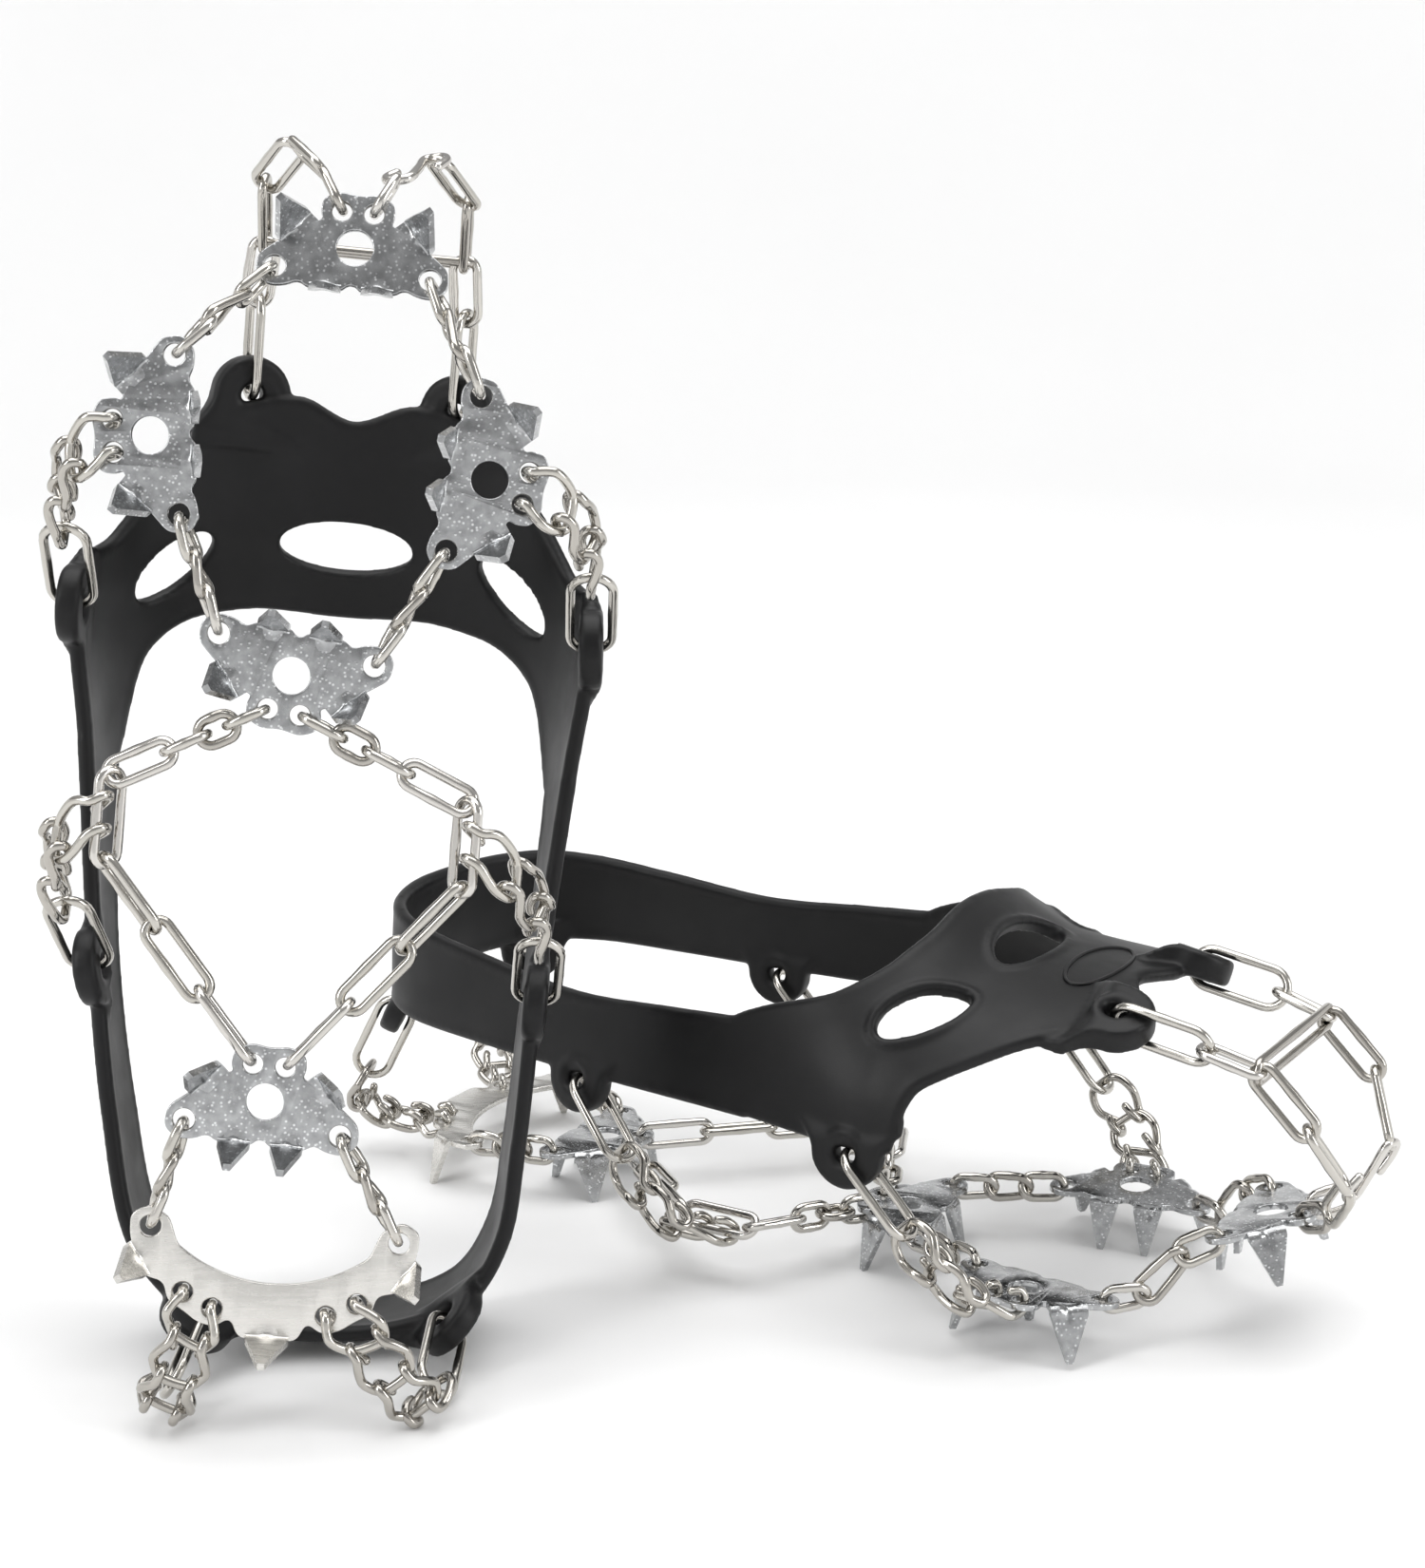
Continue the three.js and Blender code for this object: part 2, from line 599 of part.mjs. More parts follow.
/** The side net: arch plate ear, the lengthwise link at the sole's edge, waist plate ear. */
function sideNet(side) {
  const { y, z } = side > 0 ? EDGE_LINK.left : EDGE_LINK.right;
  const front = new THREE.Vector3(EDGE_LINK.front, y, z);
  const rear = new THREE.Vector3(EDGE_LINK.rear, y, z);
  const archEar = holeIn('arch', EAR, -side);
  const waistEar = holeIn('waist', EAR, side);
  archEar.add(front.clone().sub(archEar).normalize().multiplyScalar(0.5));
  waistEar.add(rear.clone().sub(waistEar).normalize().multiplyScalar(0.5));
  const fore = share(archEar, front, [1.05, 0.85, 1.05, 1.75]);
  const aft = share(rear, waistEar, [1, 1, 1.05]);
  const twists = [90, 0, 90, -20, EDGE_TWIST, -60, 10, 90];
  return chain([...fore, ...aft], twists.map((twist) => twist * side), UP);
}

// Ladders: the corners that each one wraps, the way out of the shoe, and the angle from straight
// down that each of its rungs faces.
const LADDERS = {
  ball_left: { corners: [[211, 57.5, 18]], out: [0, 1, 0], facing: [25, 62, 85] },
  ball_right: { corners: [[214, -59, 17.5]], out: [0, -1, 0], facing: [25, 62, 85] },
  waist_left: { corners: [[124, 54, 19]], out: [0, 1, 0], facing: [30, 65, 85] },
  waist_right: { corners: [[127, -56, 18]], out: [0, -1, 0], facing: [30, 65, 85] },
  heel_left: {
    corners: [[13.5, 30, 11.5], [4.4, 38.3, 15]], out: [-0.75, 0.66, 0], facing: [0, 15, 55, 85],
  },
  heel_right: {
    corners: [[12, -17, 11.5], [0.5, -21, 15]], out: [-0.93, -0.36, 0], facing: [0, 15, 55, 85],
  },
};

/** The two places that a ladder's first rung hooks: plate holes, or along a lengthwise link. */
function ladderHooks(name) {
  const side = name.endsWith('left') ? 1 : -1;
  if (name.startsWith('ball')) return [holeIn(name, EAR, 1), holeIn(name, EAR, -1)];
  if (name.startsWith('heel')) return HEEL.pairs.map((hole) => heelHole(hole, side));
  const { y, z } = side > 0 ? EDGE_LINK.left : EDGE_LINK.right;
  const barOffset = (LINK_WIDTH - CHAIN_WIRE) / 2;
  const drop = radians(EDGE_TWIST);
  const bar = new THREE.Vector3(
    (EDGE_LINK.front + EDGE_LINK.rear) / 2, y + side * barOffset * Math.cos(drop), z - barOffset * Math.sin(drop));
  return [RUNG_HALF_WIDTH, -RUNG_HALF_WIDTH].map((x) => bar.clone().add(new THREE.Vector3(x, 0, 0)));
}

/** Where a ladder's bars lie: evenly along its route, the last one a ring's length from the eye. */
function ladderBars(name) {
  const { facing, corners } = LADDERS[name];
  const rungs = facing.length;
  const eye = vector(LUGS[name].eye);
  const start = mix(...ladderHooks(name), 0.5);
  const route = new THREE.CatmullRomCurve3([start, ...corners.map(vector), eye]);
  let last = 1;
  while (route.getPointAt(last).distanceTo(eye) < RING_HOLD) last -= 0.002;
  return [...Array(rungs + 1).keys()].map((k) => route.getPointAt((last * k) / rungs));
}

// How a rung's hooks pass what they hold, as in rung().
const HOOKS = {
  throughPlate: { reach: 2.35, past: 0.9, legs: 3.1 },
  overLink: { reach: 3.05, past: 2.9, legs: 3 },
  overBar: { reach: 1.6, past: 1.6, legs: 0.7 },
};

function ladder(name) {
  const { out, facing } = LADDERS[name];
  const bars = ladderBars(name);
  const [hookA, hookB] = ladderHooks(name);
  return join(facing.map((angle, k) => {
    const outward = vector(out).multiplyScalar(Math.sin(radians(angle)));
    outward.z -= Math.cos(radians(angle));
    outward.normalize();
    if (k > 0) return rung(bars[k + 1], bars[k], outward, HOOKS.overBar);
    const hooks = name.startsWith('waist') ? HOOKS.overLink : HOOKS.throughPlate;
    return rung(bars[1], bars[0], outward, hooks, hookA.clone().sub(hookB));
  }));
}

/** The ends of a lug ring's centre line, inner by the chain or ladder, outer in the lug's eye. */
function ringEnds(name) {
  const eye = vector(LUGS[name].eye);
  const length = RING_LENGTH - CHAIN_WIRE;
  if (name.startsWith('toe')) {
    const outer = eye.clone().addScaledVector(TOE_PULL, TOE_RING_SLACK);
    return { outer, inner: outer.clone().addScaledVector(TOE_PULL, length) };
  }
  const bar = ladderBars(name).pop();
  const pull = bar.sub(eye).normalize();
  return { outer: eye, inner: eye.clone().addScaledVector(pull, length) };
}

function ring(name) {
  const { inner, outer } = ringEnds(name);
  return oval(outer, inner, RING_WIDTH, CHAIN_WIRE, vector(LUGS[name].facing).normalize(), 90);
}

// ---- one cleat, then the pair ----

const RUBBER = { color: 0x17181b, roughness: 0.62, metalness: 0 };
const GALVANISED = { color: 0x9aa2a8, roughness: 0.38, metalness: 1 };
const SATIN = { color: 0xc9c8c2, roughness: 0.34, metalness: 1 };
const CHAIN = { color: 0xb9b3a9, roughness: 0.2, metalness: 1 };

function cleat(prefix) {
  const group = new THREE.Group();
  const add = (name, body, look, matrix = new THREE.Matrix4()) => {
    const mesh = new THREE.Mesh(toGeometry(body), new THREE.MeshStandardMaterial(look));
    mesh.name = `${prefix}_${name}`;
    mesh.applyMatrix4(matrix);
    group.add(mesh);
  };

  add('harness', harness(), RUBBER);
  const plate = spikePlate();
  Object.entries(PLATES).forEach(([name, place]) => {
    add(`${name}_plate`, plate, GALVANISED, plateFrame(place));
  });
  add('heel_plate', heelPlate(), SATIN, new THREE.Matrix4().makeTranslation(0, HEEL.y, SOLE_HEIGHT));

  const end = (name, side) => holeIn(name, END_HOLE, side);
  add('chain_toe_to_ball_left', strand(end('toe', 1), end('ball_left', -1), TOE_BENDS), CHAIN);
  add('chain_toe_to_ball_right', strand(end('toe', -1), end('ball_right', 1), TOE_BENDS), CHAIN);
  add('chain_ball_to_arch_left', strand(end('ball_left', 1), end('arch', -1)), CHAIN);
  add('chain_ball_to_arch_right', strand(end('ball_right', -1), end('arch', 1)), CHAIN);
  add('chain_waist_to_heel_left', strand(end('waist', 1), heelHole(HEEL.ends, 1)), CHAIN);
  add('chain_waist_to_heel_right', strand(end('waist', -1), heelHole(HEEL.ends, -1)), CHAIN);
  add('chain_side_left', sideNet(1), CHAIN);
  add('chain_side_right', sideNet(-1), CHAIN);
  add('chain_toe', toeNet(), CHAIN);
  Object.keys(LADDERS).forEach((name) => add(`ladder_${name}`, ladder(name), CHAIN));
  Object.keys(LUGS).forEach((name) => add(`ring_${name}`, ring(name), CHAIN));
  return group;
}

function uprightCleat() {
  const { turn, lean: back, tilt, at } = UPRIGHT;
  const stood = cleat('upright');
  stood.applyMatrix4(frame(
    new THREE.Vector3(0, 0, 1), new THREE.Vector3(1, 0, 0), new THREE.Vector3(0, 1, 0), new THREE.Vector3()));
  const pose = new THREE.Group();
  pose.rotation.set(radians(back), radians(tilt), radians(turn), 'ZXY');
  pose.position.set(...at);
  return pose.add(stood);
}

function flatCleat() {
  const group = cleat('flat');
  group.rotation.z = radians(FLAT.turn);
  group.position.set(...FLAT.at);
  return group;
}

const group = new THREE.Group();
group.add(flatCleat(), uprightCleat());

export default group;
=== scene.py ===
"""Looks for a pair of stretch-on shoe ice cleats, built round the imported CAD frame.

One cleat is drawn in its own frame, in millimetres: X to the toe, Y to its left, Z up from
the spike tips. The same pieces are placed twice: one cleat flat, one upright on its heel.
"""

import json
import math

import bmesh
import bpy
from mathutils import Matrix, Vector

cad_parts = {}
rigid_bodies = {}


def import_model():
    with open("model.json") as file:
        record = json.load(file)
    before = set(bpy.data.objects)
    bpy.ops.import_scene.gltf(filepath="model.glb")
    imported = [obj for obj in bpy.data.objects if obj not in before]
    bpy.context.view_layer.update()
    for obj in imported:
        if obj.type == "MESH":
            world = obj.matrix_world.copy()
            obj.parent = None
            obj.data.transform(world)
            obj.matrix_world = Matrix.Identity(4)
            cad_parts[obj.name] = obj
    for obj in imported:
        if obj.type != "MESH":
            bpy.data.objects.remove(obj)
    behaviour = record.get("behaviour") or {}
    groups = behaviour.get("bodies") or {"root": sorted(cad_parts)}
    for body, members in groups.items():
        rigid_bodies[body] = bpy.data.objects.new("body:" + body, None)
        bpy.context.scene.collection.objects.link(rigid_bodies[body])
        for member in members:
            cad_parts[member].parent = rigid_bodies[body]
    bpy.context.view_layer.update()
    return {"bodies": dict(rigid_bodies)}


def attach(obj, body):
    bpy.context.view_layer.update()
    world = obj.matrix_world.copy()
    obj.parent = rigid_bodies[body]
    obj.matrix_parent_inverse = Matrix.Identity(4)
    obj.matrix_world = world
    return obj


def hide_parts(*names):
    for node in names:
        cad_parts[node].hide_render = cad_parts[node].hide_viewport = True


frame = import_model()

MM = 0.001
UP = Vector((0, 0, 1))

# ---- driving dimensions, in millimetres; the places are those of the CAD ----

CHAIN_WIRE = 2.3
# 2.0 in the CAD.
LADDER_WIRE = 2.3
LINK_WIDTH = 8.4
RING_LENGTH = 28
RING_WIDTH = 12.4
RING_GRIP = 2.6
RING_HOLD = RING_LENGTH - CHAIN_WIRE - RING_GRIP
RUNG_HALF_WIDTH = 3.7
RUNG_BULGE = 6.2

PLATE_THICKNESS = 1.6
SPIKE_LENGTH = 12
SPIKE_TIP = 1.6
SPIKE_SPLAY = 0.25
SOLE_HEIGHT = SPIKE_LENGTH + PLATE_THICKNESS / 2
# Holes of a spike plate: distance towards the ears, distance to the side, radius.
EAR = (8.4, RUNG_HALF_WIDTH, 2.3)
END_HOLE = (-6, 17.8, 2.5)
CENTRE_HOLE_RADIUS = 4.25

HARNESS_WALL = 3.6
SHOULDER = 50
EYE_RADIUS = 2.9
LUG_RADIUS = 9.5
LUG_THICKNESS = 5.8
LUG_NECK = 10
TOE_LUG_RADIUS = 9.8
TOE_LUG_THICKNESS = 7.0
TOE_LUG_NECK = 13
EYE_LIP = 1.2
EYE_LIP_SINK = 0.9
HOOK_SIDE = 1
TOE_BENDS = (1.2, -4.3)

# Plate name: place of its centre hole, turn of its ears from the toe, tilt upwards.
PLATES = {
    "toe": ((269.5, 0.5, 30), 0, 12),
    "ball_right": ((222, -40.5, SOLE_HEIGHT + 1.2), -96, 5),
    "ball_left": ((219, 36, SOLE_HEIGHT + 1.2), 98, 5),
    "arch": ((171, -4.8, SOLE_HEIGHT), 187, 0),
    "waist": ((73.5, -3, SOLE_HEIGHT), 2, 0),
}
HEEL_Y = 1.7
HEEL_ENDS = (43, 28.4)
HEEL_PAIRS = ((28.3, 19.9), (25, 13))
HEEL_ARC_X = 66.5
HEEL_ARC_RADIUS = 35
HEEL_REAR = 18.5

# Lug name: middle of its eye, and the way that it faces.
LUGS = {
    "toe_left": ((237, 26, 83), (0.12, 0.36, 0.93)),
    "toe_right": ((237, -26, 83), (0.12, -0.36, 0.93)),
    "ball_left": ((182, 63, 49), (0.05, 1, 0)),
    "ball_right": ((182, -60, 49), (0.05, -1, 0)),
    "waist_left": ((96, 57, 49), (-0.03, 1, 0)),
    "waist_right": ((96, -49, 49), (-0.08, -1, 0)),
    "heel_left": ((17, 43, 47), (-0.68, 0.73, 0)),
    "heel_right": ((13, -17.5, 47), (-0.9, -0.43, 0)),
}
TOE_PULL = Vector((0.985, 0, -0.17))
TOE_RING_SLACK = -0.4

# Ladder name: rungs' facing angles, corners of its route, the way out of the shoe.
LADDERS = {
    "ball_left": ((25, 62, 85), ((211, 57.5, 18),), (0, 1, 0)),
    "ball_right": ((25, 62, 85), ((214, -59, 17.5),), (0, -1, 0)),
    "waist_left": ((30, 65, 85), ((124, 54, 19),), (0, 1, 0)),
    "waist_right": ((30, 65, 85), ((127, -56, 18),), (0, -1, 0)),
    "heel_left": ((0, 15, 55, 85), ((13.5, 30, 11.5), (4.4, 38.3, 15)), (-0.75, 0.66, 0)),
    "heel_right": ((0, 15, 55, 85), ((12, -17, 11.5), (0.5, -21, 15)), (-0.93, -0.36, 0)),
}
# Hooks of a rung: distance from the middle of what they hold, reach past it, and the legs' rise.
HOOK_THROUGH_PLATE = (2.5, 0.6, 3.1)
HOOK_OVER_LINK = (2.7, 2.5, 2.6)
HOOK_OVER_BAR = (2.35, 2.35, 0.8)

EDGE_TWIST = 40
EDGE_FRONT = 145
EDGE_REAR = 125.5
EDGE_LINK = {"left": (37.5, 14.5), "right": (-43.5, 15)}

# Plan of the band at the shoulder, from the left of the panel round the heel to its right.
BAND_PLAN = (
    (150, 60.5), (96, 57), (60, 56), (36, 54), (21, 46.5), (13.5, 33),
    (10, 14), (11, -9), (17, -24), (30, -35), (60, -43), (96, -49), (150, -55.5),
)
BAND_LOW = 52
# Rows of (x, value): band height, top of the foot, half width of the forefoot, and how flat the top is.
BAND_HEIGHT = ((0, 27), (60, 21), (96, 18), (123, 19.7), (150, 21.5))
# Rear and front edge of the panel, in equal steps from the top of the foot to its side.
PANEL_REAR = (185.5, 186, 183, 173, 146, 118)
PANEL_FRONT = (231, 236, 233, 214, 196, 192)
PANEL_SIDE_ANGLE = 88
INSTEP = ((0, 140), (100, 138), (140, 124), (165, 110), (187, 97), (203, 88), (222, 85.5), (250, 83))
FOREFOOT = ((182, 61.5), (205, 59), (222, 54), (240, 46))
FOREFOOT_SHIFT = 1.5
TOP_FLATNESS = ((187, 1), (225, 0.55))
BAND_FRONT = 150
# Where the bands' beads stop, short of the panel, and the stretch of the panel's own side beads.
BAND_BEAD_FRONT = 146
SIDE_BEAD = (140, 192, 2)
# Oval openings: x, side angle, length, width, turn.
OVALS = ((201.5, 0, 12.5, 34, 0), (193, 45.5, 26, 10, -50), (193, -45.5, 26, 10, 50))
BADGE = (221.3, 0, 12, 34, 0)
BADGE_WIRE = 0.5
OVAL_LIP = 1.35

# The toe net's chain corners on the left: before and after the hook, at the cheek, at the link across.
TOE_CORNER = (287, 8.5, 35.6)
TOE_PEAK = (294, 16.5, 47)
TOE_CHEEK = (286.5, 24.5, 62.5)
TOE_JUNCTION = (273.5, 24.5, 75.3)
TOE_RING_BITE = 2.8


# ---- numbers and curves ----

def table(rows, x):
    """Straight-line interpolation in rows of (x, value)."""
    if x <= rows[0][0]:
        return rows[0][1]
    for (x0, v0), (x1, v1) in zip(rows, rows[1:]):
        if x <= x1:
            return v0 + (v1 - v0) * (x - x0) / (x1 - x0)
    return rows[-1][1]


def smooth_table(rows, x):
    """Interpolation in rows of (x, value) with a continuous slope and no overshoot."""
    if x <= rows[0][0]:
        return rows[0][1]
    if x >= rows[-1][0]:
        return rows[-1][1]
    k = next(i for i in range(len(rows) - 1) if x <= rows[i + 1][0])

    def chord(i):
        (x0, v0), (x1, v1) = rows[i], rows[i + 1]
        return (v1 - v0) / (x1 - x0)

    def slope(i):
        if i == 0 or i == len(rows) - 1:
            return chord(min(i, len(rows) - 2))
        a, b = chord(i - 1), chord(i)
        return 0 if a * b <= 0 else 2 * a * b / (a + b)

    (x0, v0), (x1, v1) = rows[k], rows[k + 1]
    span = x1 - x0
    t = (x - x0) / span
    m0, m1 = slope(k) * span, slope(k + 1) * span
    a = 2 * t ** 3 - 3 * t ** 2 + 1
    b = t ** 3 - 2 * t ** 2 + t
    c = 3 * t ** 2 - 2 * t ** 3
    d = t ** 3 - t ** 2
    return a * v0 + b * m0 + c * v1 + d * m1


def spline(points, steps):
    """Points along a centripetal Catmull-Rom curve through the given ones."""
    knots = [points[0] * 2 - points[1], *points, points[-1] * 2 - points[-2]]
    out = []
    for p0, p1, p2, p3 in zip(knots, knots[1:], knots[2:], knots[3:]):
        t = [0.0]
        for a, b in ((p0, p1), (p1, p2), (p2, p3)):
            t.append(t[-1] + max((b - a).length, 1e-4) ** 0.5)
        for k in range(steps):
            u = t[1] + (t[2] - t[1]) * k / steps
            a1 = p0.lerp(p1, u / t[1])
            a2 = p1.lerp(p2, (u - t[1]) / (t[2] - t[1]))
            a3 = p2.lerp(p3, (u - t[2]) / (t[3] - t[2]))
            b1 = a1.lerp(a2, u / t[2])
            b2 = a2.lerp(a3, (u - t[1]) / (t[3] - t[1]))
            out.append(b1.lerp(b2, (u - t[1]) / (t[2] - t[1])))
    out.append(points[-1].copy())
    return out


def by_length(points, count):
    """The same polyline as count + 1 points at equal distances."""
    reach = [0.0]
    for a, b in zip(points, points[1:]):
        reach.append(reach[-1] + (b - a).length)
    out = []
    k = 0
    for i in range(count + 1):
        want = reach[-1] * i / count
        while k < len(points) - 2 and reach[k + 1] < want:
            k += 1
        span = reach[k + 1] - reach[k]
        out.append(points[k].lerp(points[k + 1], (want - reach[k]) / span))
    return out


def basis(x, y, z, at):
    """The matrix whose axes are x, y, z and whose origin is at."""
    rows = [(x[i], y[i], z[i], at[i]) for i in range(3)]
    return Matrix((*rows, (0, 0, 0, 1)))


# ---- meshes ----

class Shape:
    """Vertices and faces collected from several closed surfaces."""

    def __init__(self):
        self.points = []
        self.faces = []

    def add(self, points, faces):
        start = len(self.points)
        self.points.extend(points)
        self.faces.extend([i + start for i in face] for face in faces)
        return self

    def mesh(self, name):
        mesh = bpy.data.meshes.new(name)
        mesh.from_pydata([p[:] for p in self.points], [], self.faces)
        mesh.validate()
        return mesh


WIRE_SIDES = 12


def tube(shape, points, radii, closed):
    """A round wire along points, with domed ends if it is open."""
    count = len(points)
    if closed:
        tangents = [(points[(k + 1) % count] - points[k - 1]).normalized() for k in range(count)]
    else:
        tangents = [
            (points[min(k + 1, count - 1)] - points[max(k - 1, 0)]).normalized()
            for k in range(count)]
    normal = tangents[0].orthogonal().normalized()
    rings = []
    for k in range(count):
        normal = (normal - tangents[k] * normal.dot(tangents[k])).normalized()
        rings.append((points[k], normal.copy(), tangents[k].cross(normal), radii[k]))
    if not closed:
        rings = dome(rings[0], -tangents[0])[::-1] + rings + dome(rings[-1], tangents[-1])
    verts = []
    for point, across, up, radius in rings:
        for j in range(WIRE_SIDES):
            angle = 2 * math.pi * j / WIRE_SIDES
            verts.append(point + (across * math.cos(angle) + up * math.sin(angle)) * radius)
    faces = []
    for k in range(len(rings) if closed else len(rings) - 1):
        a, b = k * WIRE_SIDES, (k + 1) % len(rings) * WIRE_SIDES
        shift = twist_shift(rings) if closed and k == len(rings) - 1 else 0
        for j in range(WIRE_SIDES):
            i, n = j, (j + 1) % WIRE_SIDES
            p, q = (i + shift) % WIRE_SIDES, (n + shift) % WIRE_SIDES
            faces.append((a + i, a + n, b + q, b + p))
    if not closed:
        faces.append(tuple(reversed(range(WIRE_SIDES))))
        last = (len(rings) - 1) * WIRE_SIDES
        faces.append(tuple(last + j for j in range(WIRE_SIDES)))
    shape.add(verts, faces)


DOME_ANGLES = (0.6, 1.15)


def dome(ring, out):
    """Two smaller rings that round off the end of a wire."""
    point, across, up, radius = ring
    return [
        (point + out * radius * math.sin(angle), across, up, radius * math.cos(angle))
        for angle in DOME_ANGLES]


def twist_shift(rings):
    """How many sides the frame has turned by on its way round a closed wire."""
    first, last = rings[0], rings[-1]
    angle = math.atan2(first[1].dot(last[2]), first[1].dot(last[1]))
    return -round(angle * WIRE_SIDES / (2 * math.pi)) % WIRE_SIDES


def stadium(length, width, per_bend=12):
    """Centre line of an oval link in the XY plane."""
    radius = width / 2
    half = max(length / 2 - radius, 0)
    points = []
    for side in (1, -1):
        for k in range(per_bend + 1):
            angle = -math.pi / 2 + math.pi * k / per_bend
            x, y = half + radius * math.cos(angle), radius * math.sin(angle)
            points.append(Vector((side * x, side * y, 0)))
        for k in (1, 2, 3):
            x = side * half * (1 - k / 2)
            points.append(Vector((x, side * radius, 0)))
    return points


WELD_REACH = 2.5
WELD_WIDTH = 1.1


def oval(shape, a, b, width, wire, up, twist, weld=0.12):
    """A welded oval link from a to b, the ends of its centre line.

    twist turns its plane about its length; two values are the turns at its two ends.
    """
    along = (b - a).normalized()
    level = up.cross(along).normalized()
    start, end = twist if isinstance(twist, tuple) else (twist, twist)
    across = Matrix.Rotation(math.radians((start + end) / 2), 3, along) @ level
    place = basis(along, across, along.cross(across), a.lerp(b, 0.5))
    line = []
    for p in stadium((b - a).length, width - wire):
        turn = math.radians(end - start) * p.x / (b - a).length
        line.append(Vector((p.x, p.y * math.cos(turn), p.y * math.sin(turn))))
    radii = []
    for p in line:
        near = p.y > 0 and abs(p.x) < WELD_REACH
        swell = weld * math.exp(-(p.x / WELD_WIDTH) ** 2) if near else 0
        radii.append(wire / 2 * (1 + swell))
    tube(shape, [place @ p for p in line], radii, True)


def chain(shape, points, twists, up):
    """Oval links that meet at the inner points of the list."""
    grip = CHAIN_WIRE / 2
    for k, twist in enumerate(twists):
        along = (points[k + 1] - points[k]).normalized()
        a = points[k] - along * (0 if k == 0 else grip)
        b = points[k + 1] + along * (0 if k == len(twists) - 1 else grip)
        oval(shape, a, b, LINK_WIDTH, CHAIN_WIRE, up, twist)


def share(a, b, weights):
    """Points that share out the way from a to b in the ratio of the weights."""
    total = sum(weights)
    done = 0
    out = [a]
    for weight in weights:
        done += weight
        out.append(a.lerp(b, done / total))
    return out


# ---- places in one cleat ----

def plate_frame(name):
    at, turn, tilt = PLATES[name]
    flat = Vector((math.cos(math.radians(turn)), math.sin(math.radians(turn)), 0))
    v = Vector((-flat.y, flat.x, 0))
    u = flat * math.cos(math.radians(tilt)) + UP * math.sin(math.radians(tilt))
    return basis(u, v, u.cross(v), Vector(at))


def hole_in(name, hole, side):
    return plate_frame(name) @ Vector((hole[0], side * hole[1], 0))


def end_hole(name, side):
    return hole_in(name, END_HOLE, side)


def heel_hole(hole, side):
    return Vector((hole[0], HEEL_Y + side * hole[1], SOLE_HEIGHT))


def ladder_hooks(name):
    """The two places that a ladder's first rung hooks."""
    side = 1 if name.endswith("left") else -1
    if name.startswith("ball"):
        return [hole_in(name, EAR, 1), hole_in(name, EAR, -1)]
    if name.startswith("heel"):
        return [heel_hole(hole, side) for hole in HEEL_PAIRS]
    y, z = EDGE_LINK["left" if side > 0 else "right"]
    offset = (LINK_WIDTH - CHAIN_WIRE) / 2
    drop = math.radians(EDGE_TWIST)
    middle = (EDGE_FRONT + EDGE_REAR) / 2
    bar = Vector((middle, y + side * offset * math.cos(drop), z - offset * math.sin(drop)))
    return [bar + Vector((x, 0, 0)) for x in (RUNG_HALF_WIDTH, -RUNG_HALF_WIDTH)]


ROUTE_STEPS = 500


def ladder_bars(name):
    """Where a ladder's bars lie: evenly along its route, the last a ring's length from the eye."""
    facing, corners, _ = LADDERS[name]
    eye = Vector(LUGS[name][0])
    hook_a, hook_b = ladder_hooks(name)
    corners = [hook_a.lerp(hook_b, 0.5), *map(Vector, corners), eye]
    route = by_length(spline(corners, 60), ROUTE_STEPS)
    last = ROUTE_STEPS
    while (route[last] - eye).length < RING_HOLD:
        last -= 1
    return [route[round(last * k / len(facing))] for k in range(len(facing) + 1)]


def ring_ends(name):
    """The ends of a lug ring's centre line: inner by the chain or ladder, outer in the eye."""
    eye = Vector(LUGS[name][0])
    length = RING_LENGTH - CHAIN_WIRE
    if name.startswith("toe"):
        outer = eye + TOE_PULL * TOE_RING_SLACK
        return outer + TOE_PULL * length, outer
    pull = (ladder_bars(name)[-1] - eye).normalized()
    return eye + pull * length, eye


# ---- chains, ladders and rings ----

# The first and last links reach this far from a hole's middle, into its far edge.
HOLE_SLACK = 0.4
EAR_SLACK = 0.5
STRAND_SHARES = (1.1, 1, 1.1)
# Turns at the two ends of each link, about its length.
STRAND_TWISTS = ((95, 115), (65, 115), (65, 85))
# Links of a side net, from the arch plate to the edge, the long edge link, and on to the waist plate.
ARCH_SHARES = (1.05, 0.85, 1.05, 1.75)
WAIST_SHARES = (1, 1, 1.05)
SIDE_TWISTS = (90, 0, 90, -20, EDGE_TWIST, -60, 10, 90)


def strand(hole_a, hole_b, bends=(0, 0)):
    along = (hole_b - hole_a).normalized()
    points = share(hole_a + along * HOLE_SLACK, hole_b - along * HOLE_SLACK, STRAND_SHARES)
    for k, bend in enumerate(bends):
        points[k + 1].z += bend
    shape = Shape()
    chain(shape, points, STRAND_TWISTS, UP)
    return shape


def side_net(side):
    y, z = EDGE_LINK["left" if side > 0 else "right"]
    front, rear = Vector((EDGE_FRONT, y, z)), Vector((EDGE_REAR, y, z))
    arch_ear, waist_ear = hole_in("arch", EAR, -side), hole_in("waist", EAR, side)
    arch_ear += (front - arch_ear).normalized() * EAR_SLACK
    waist_ear += (rear - waist_ear).normalized() * EAR_SLACK
    points = share(arch_ear, front, ARCH_SHARES) + share(rear, waist_ear, WAIST_SHARES)
    shape = Shape()
    chain(shape, points, [twist * side for twist in SIDE_TWISTS], UP)
    return shape


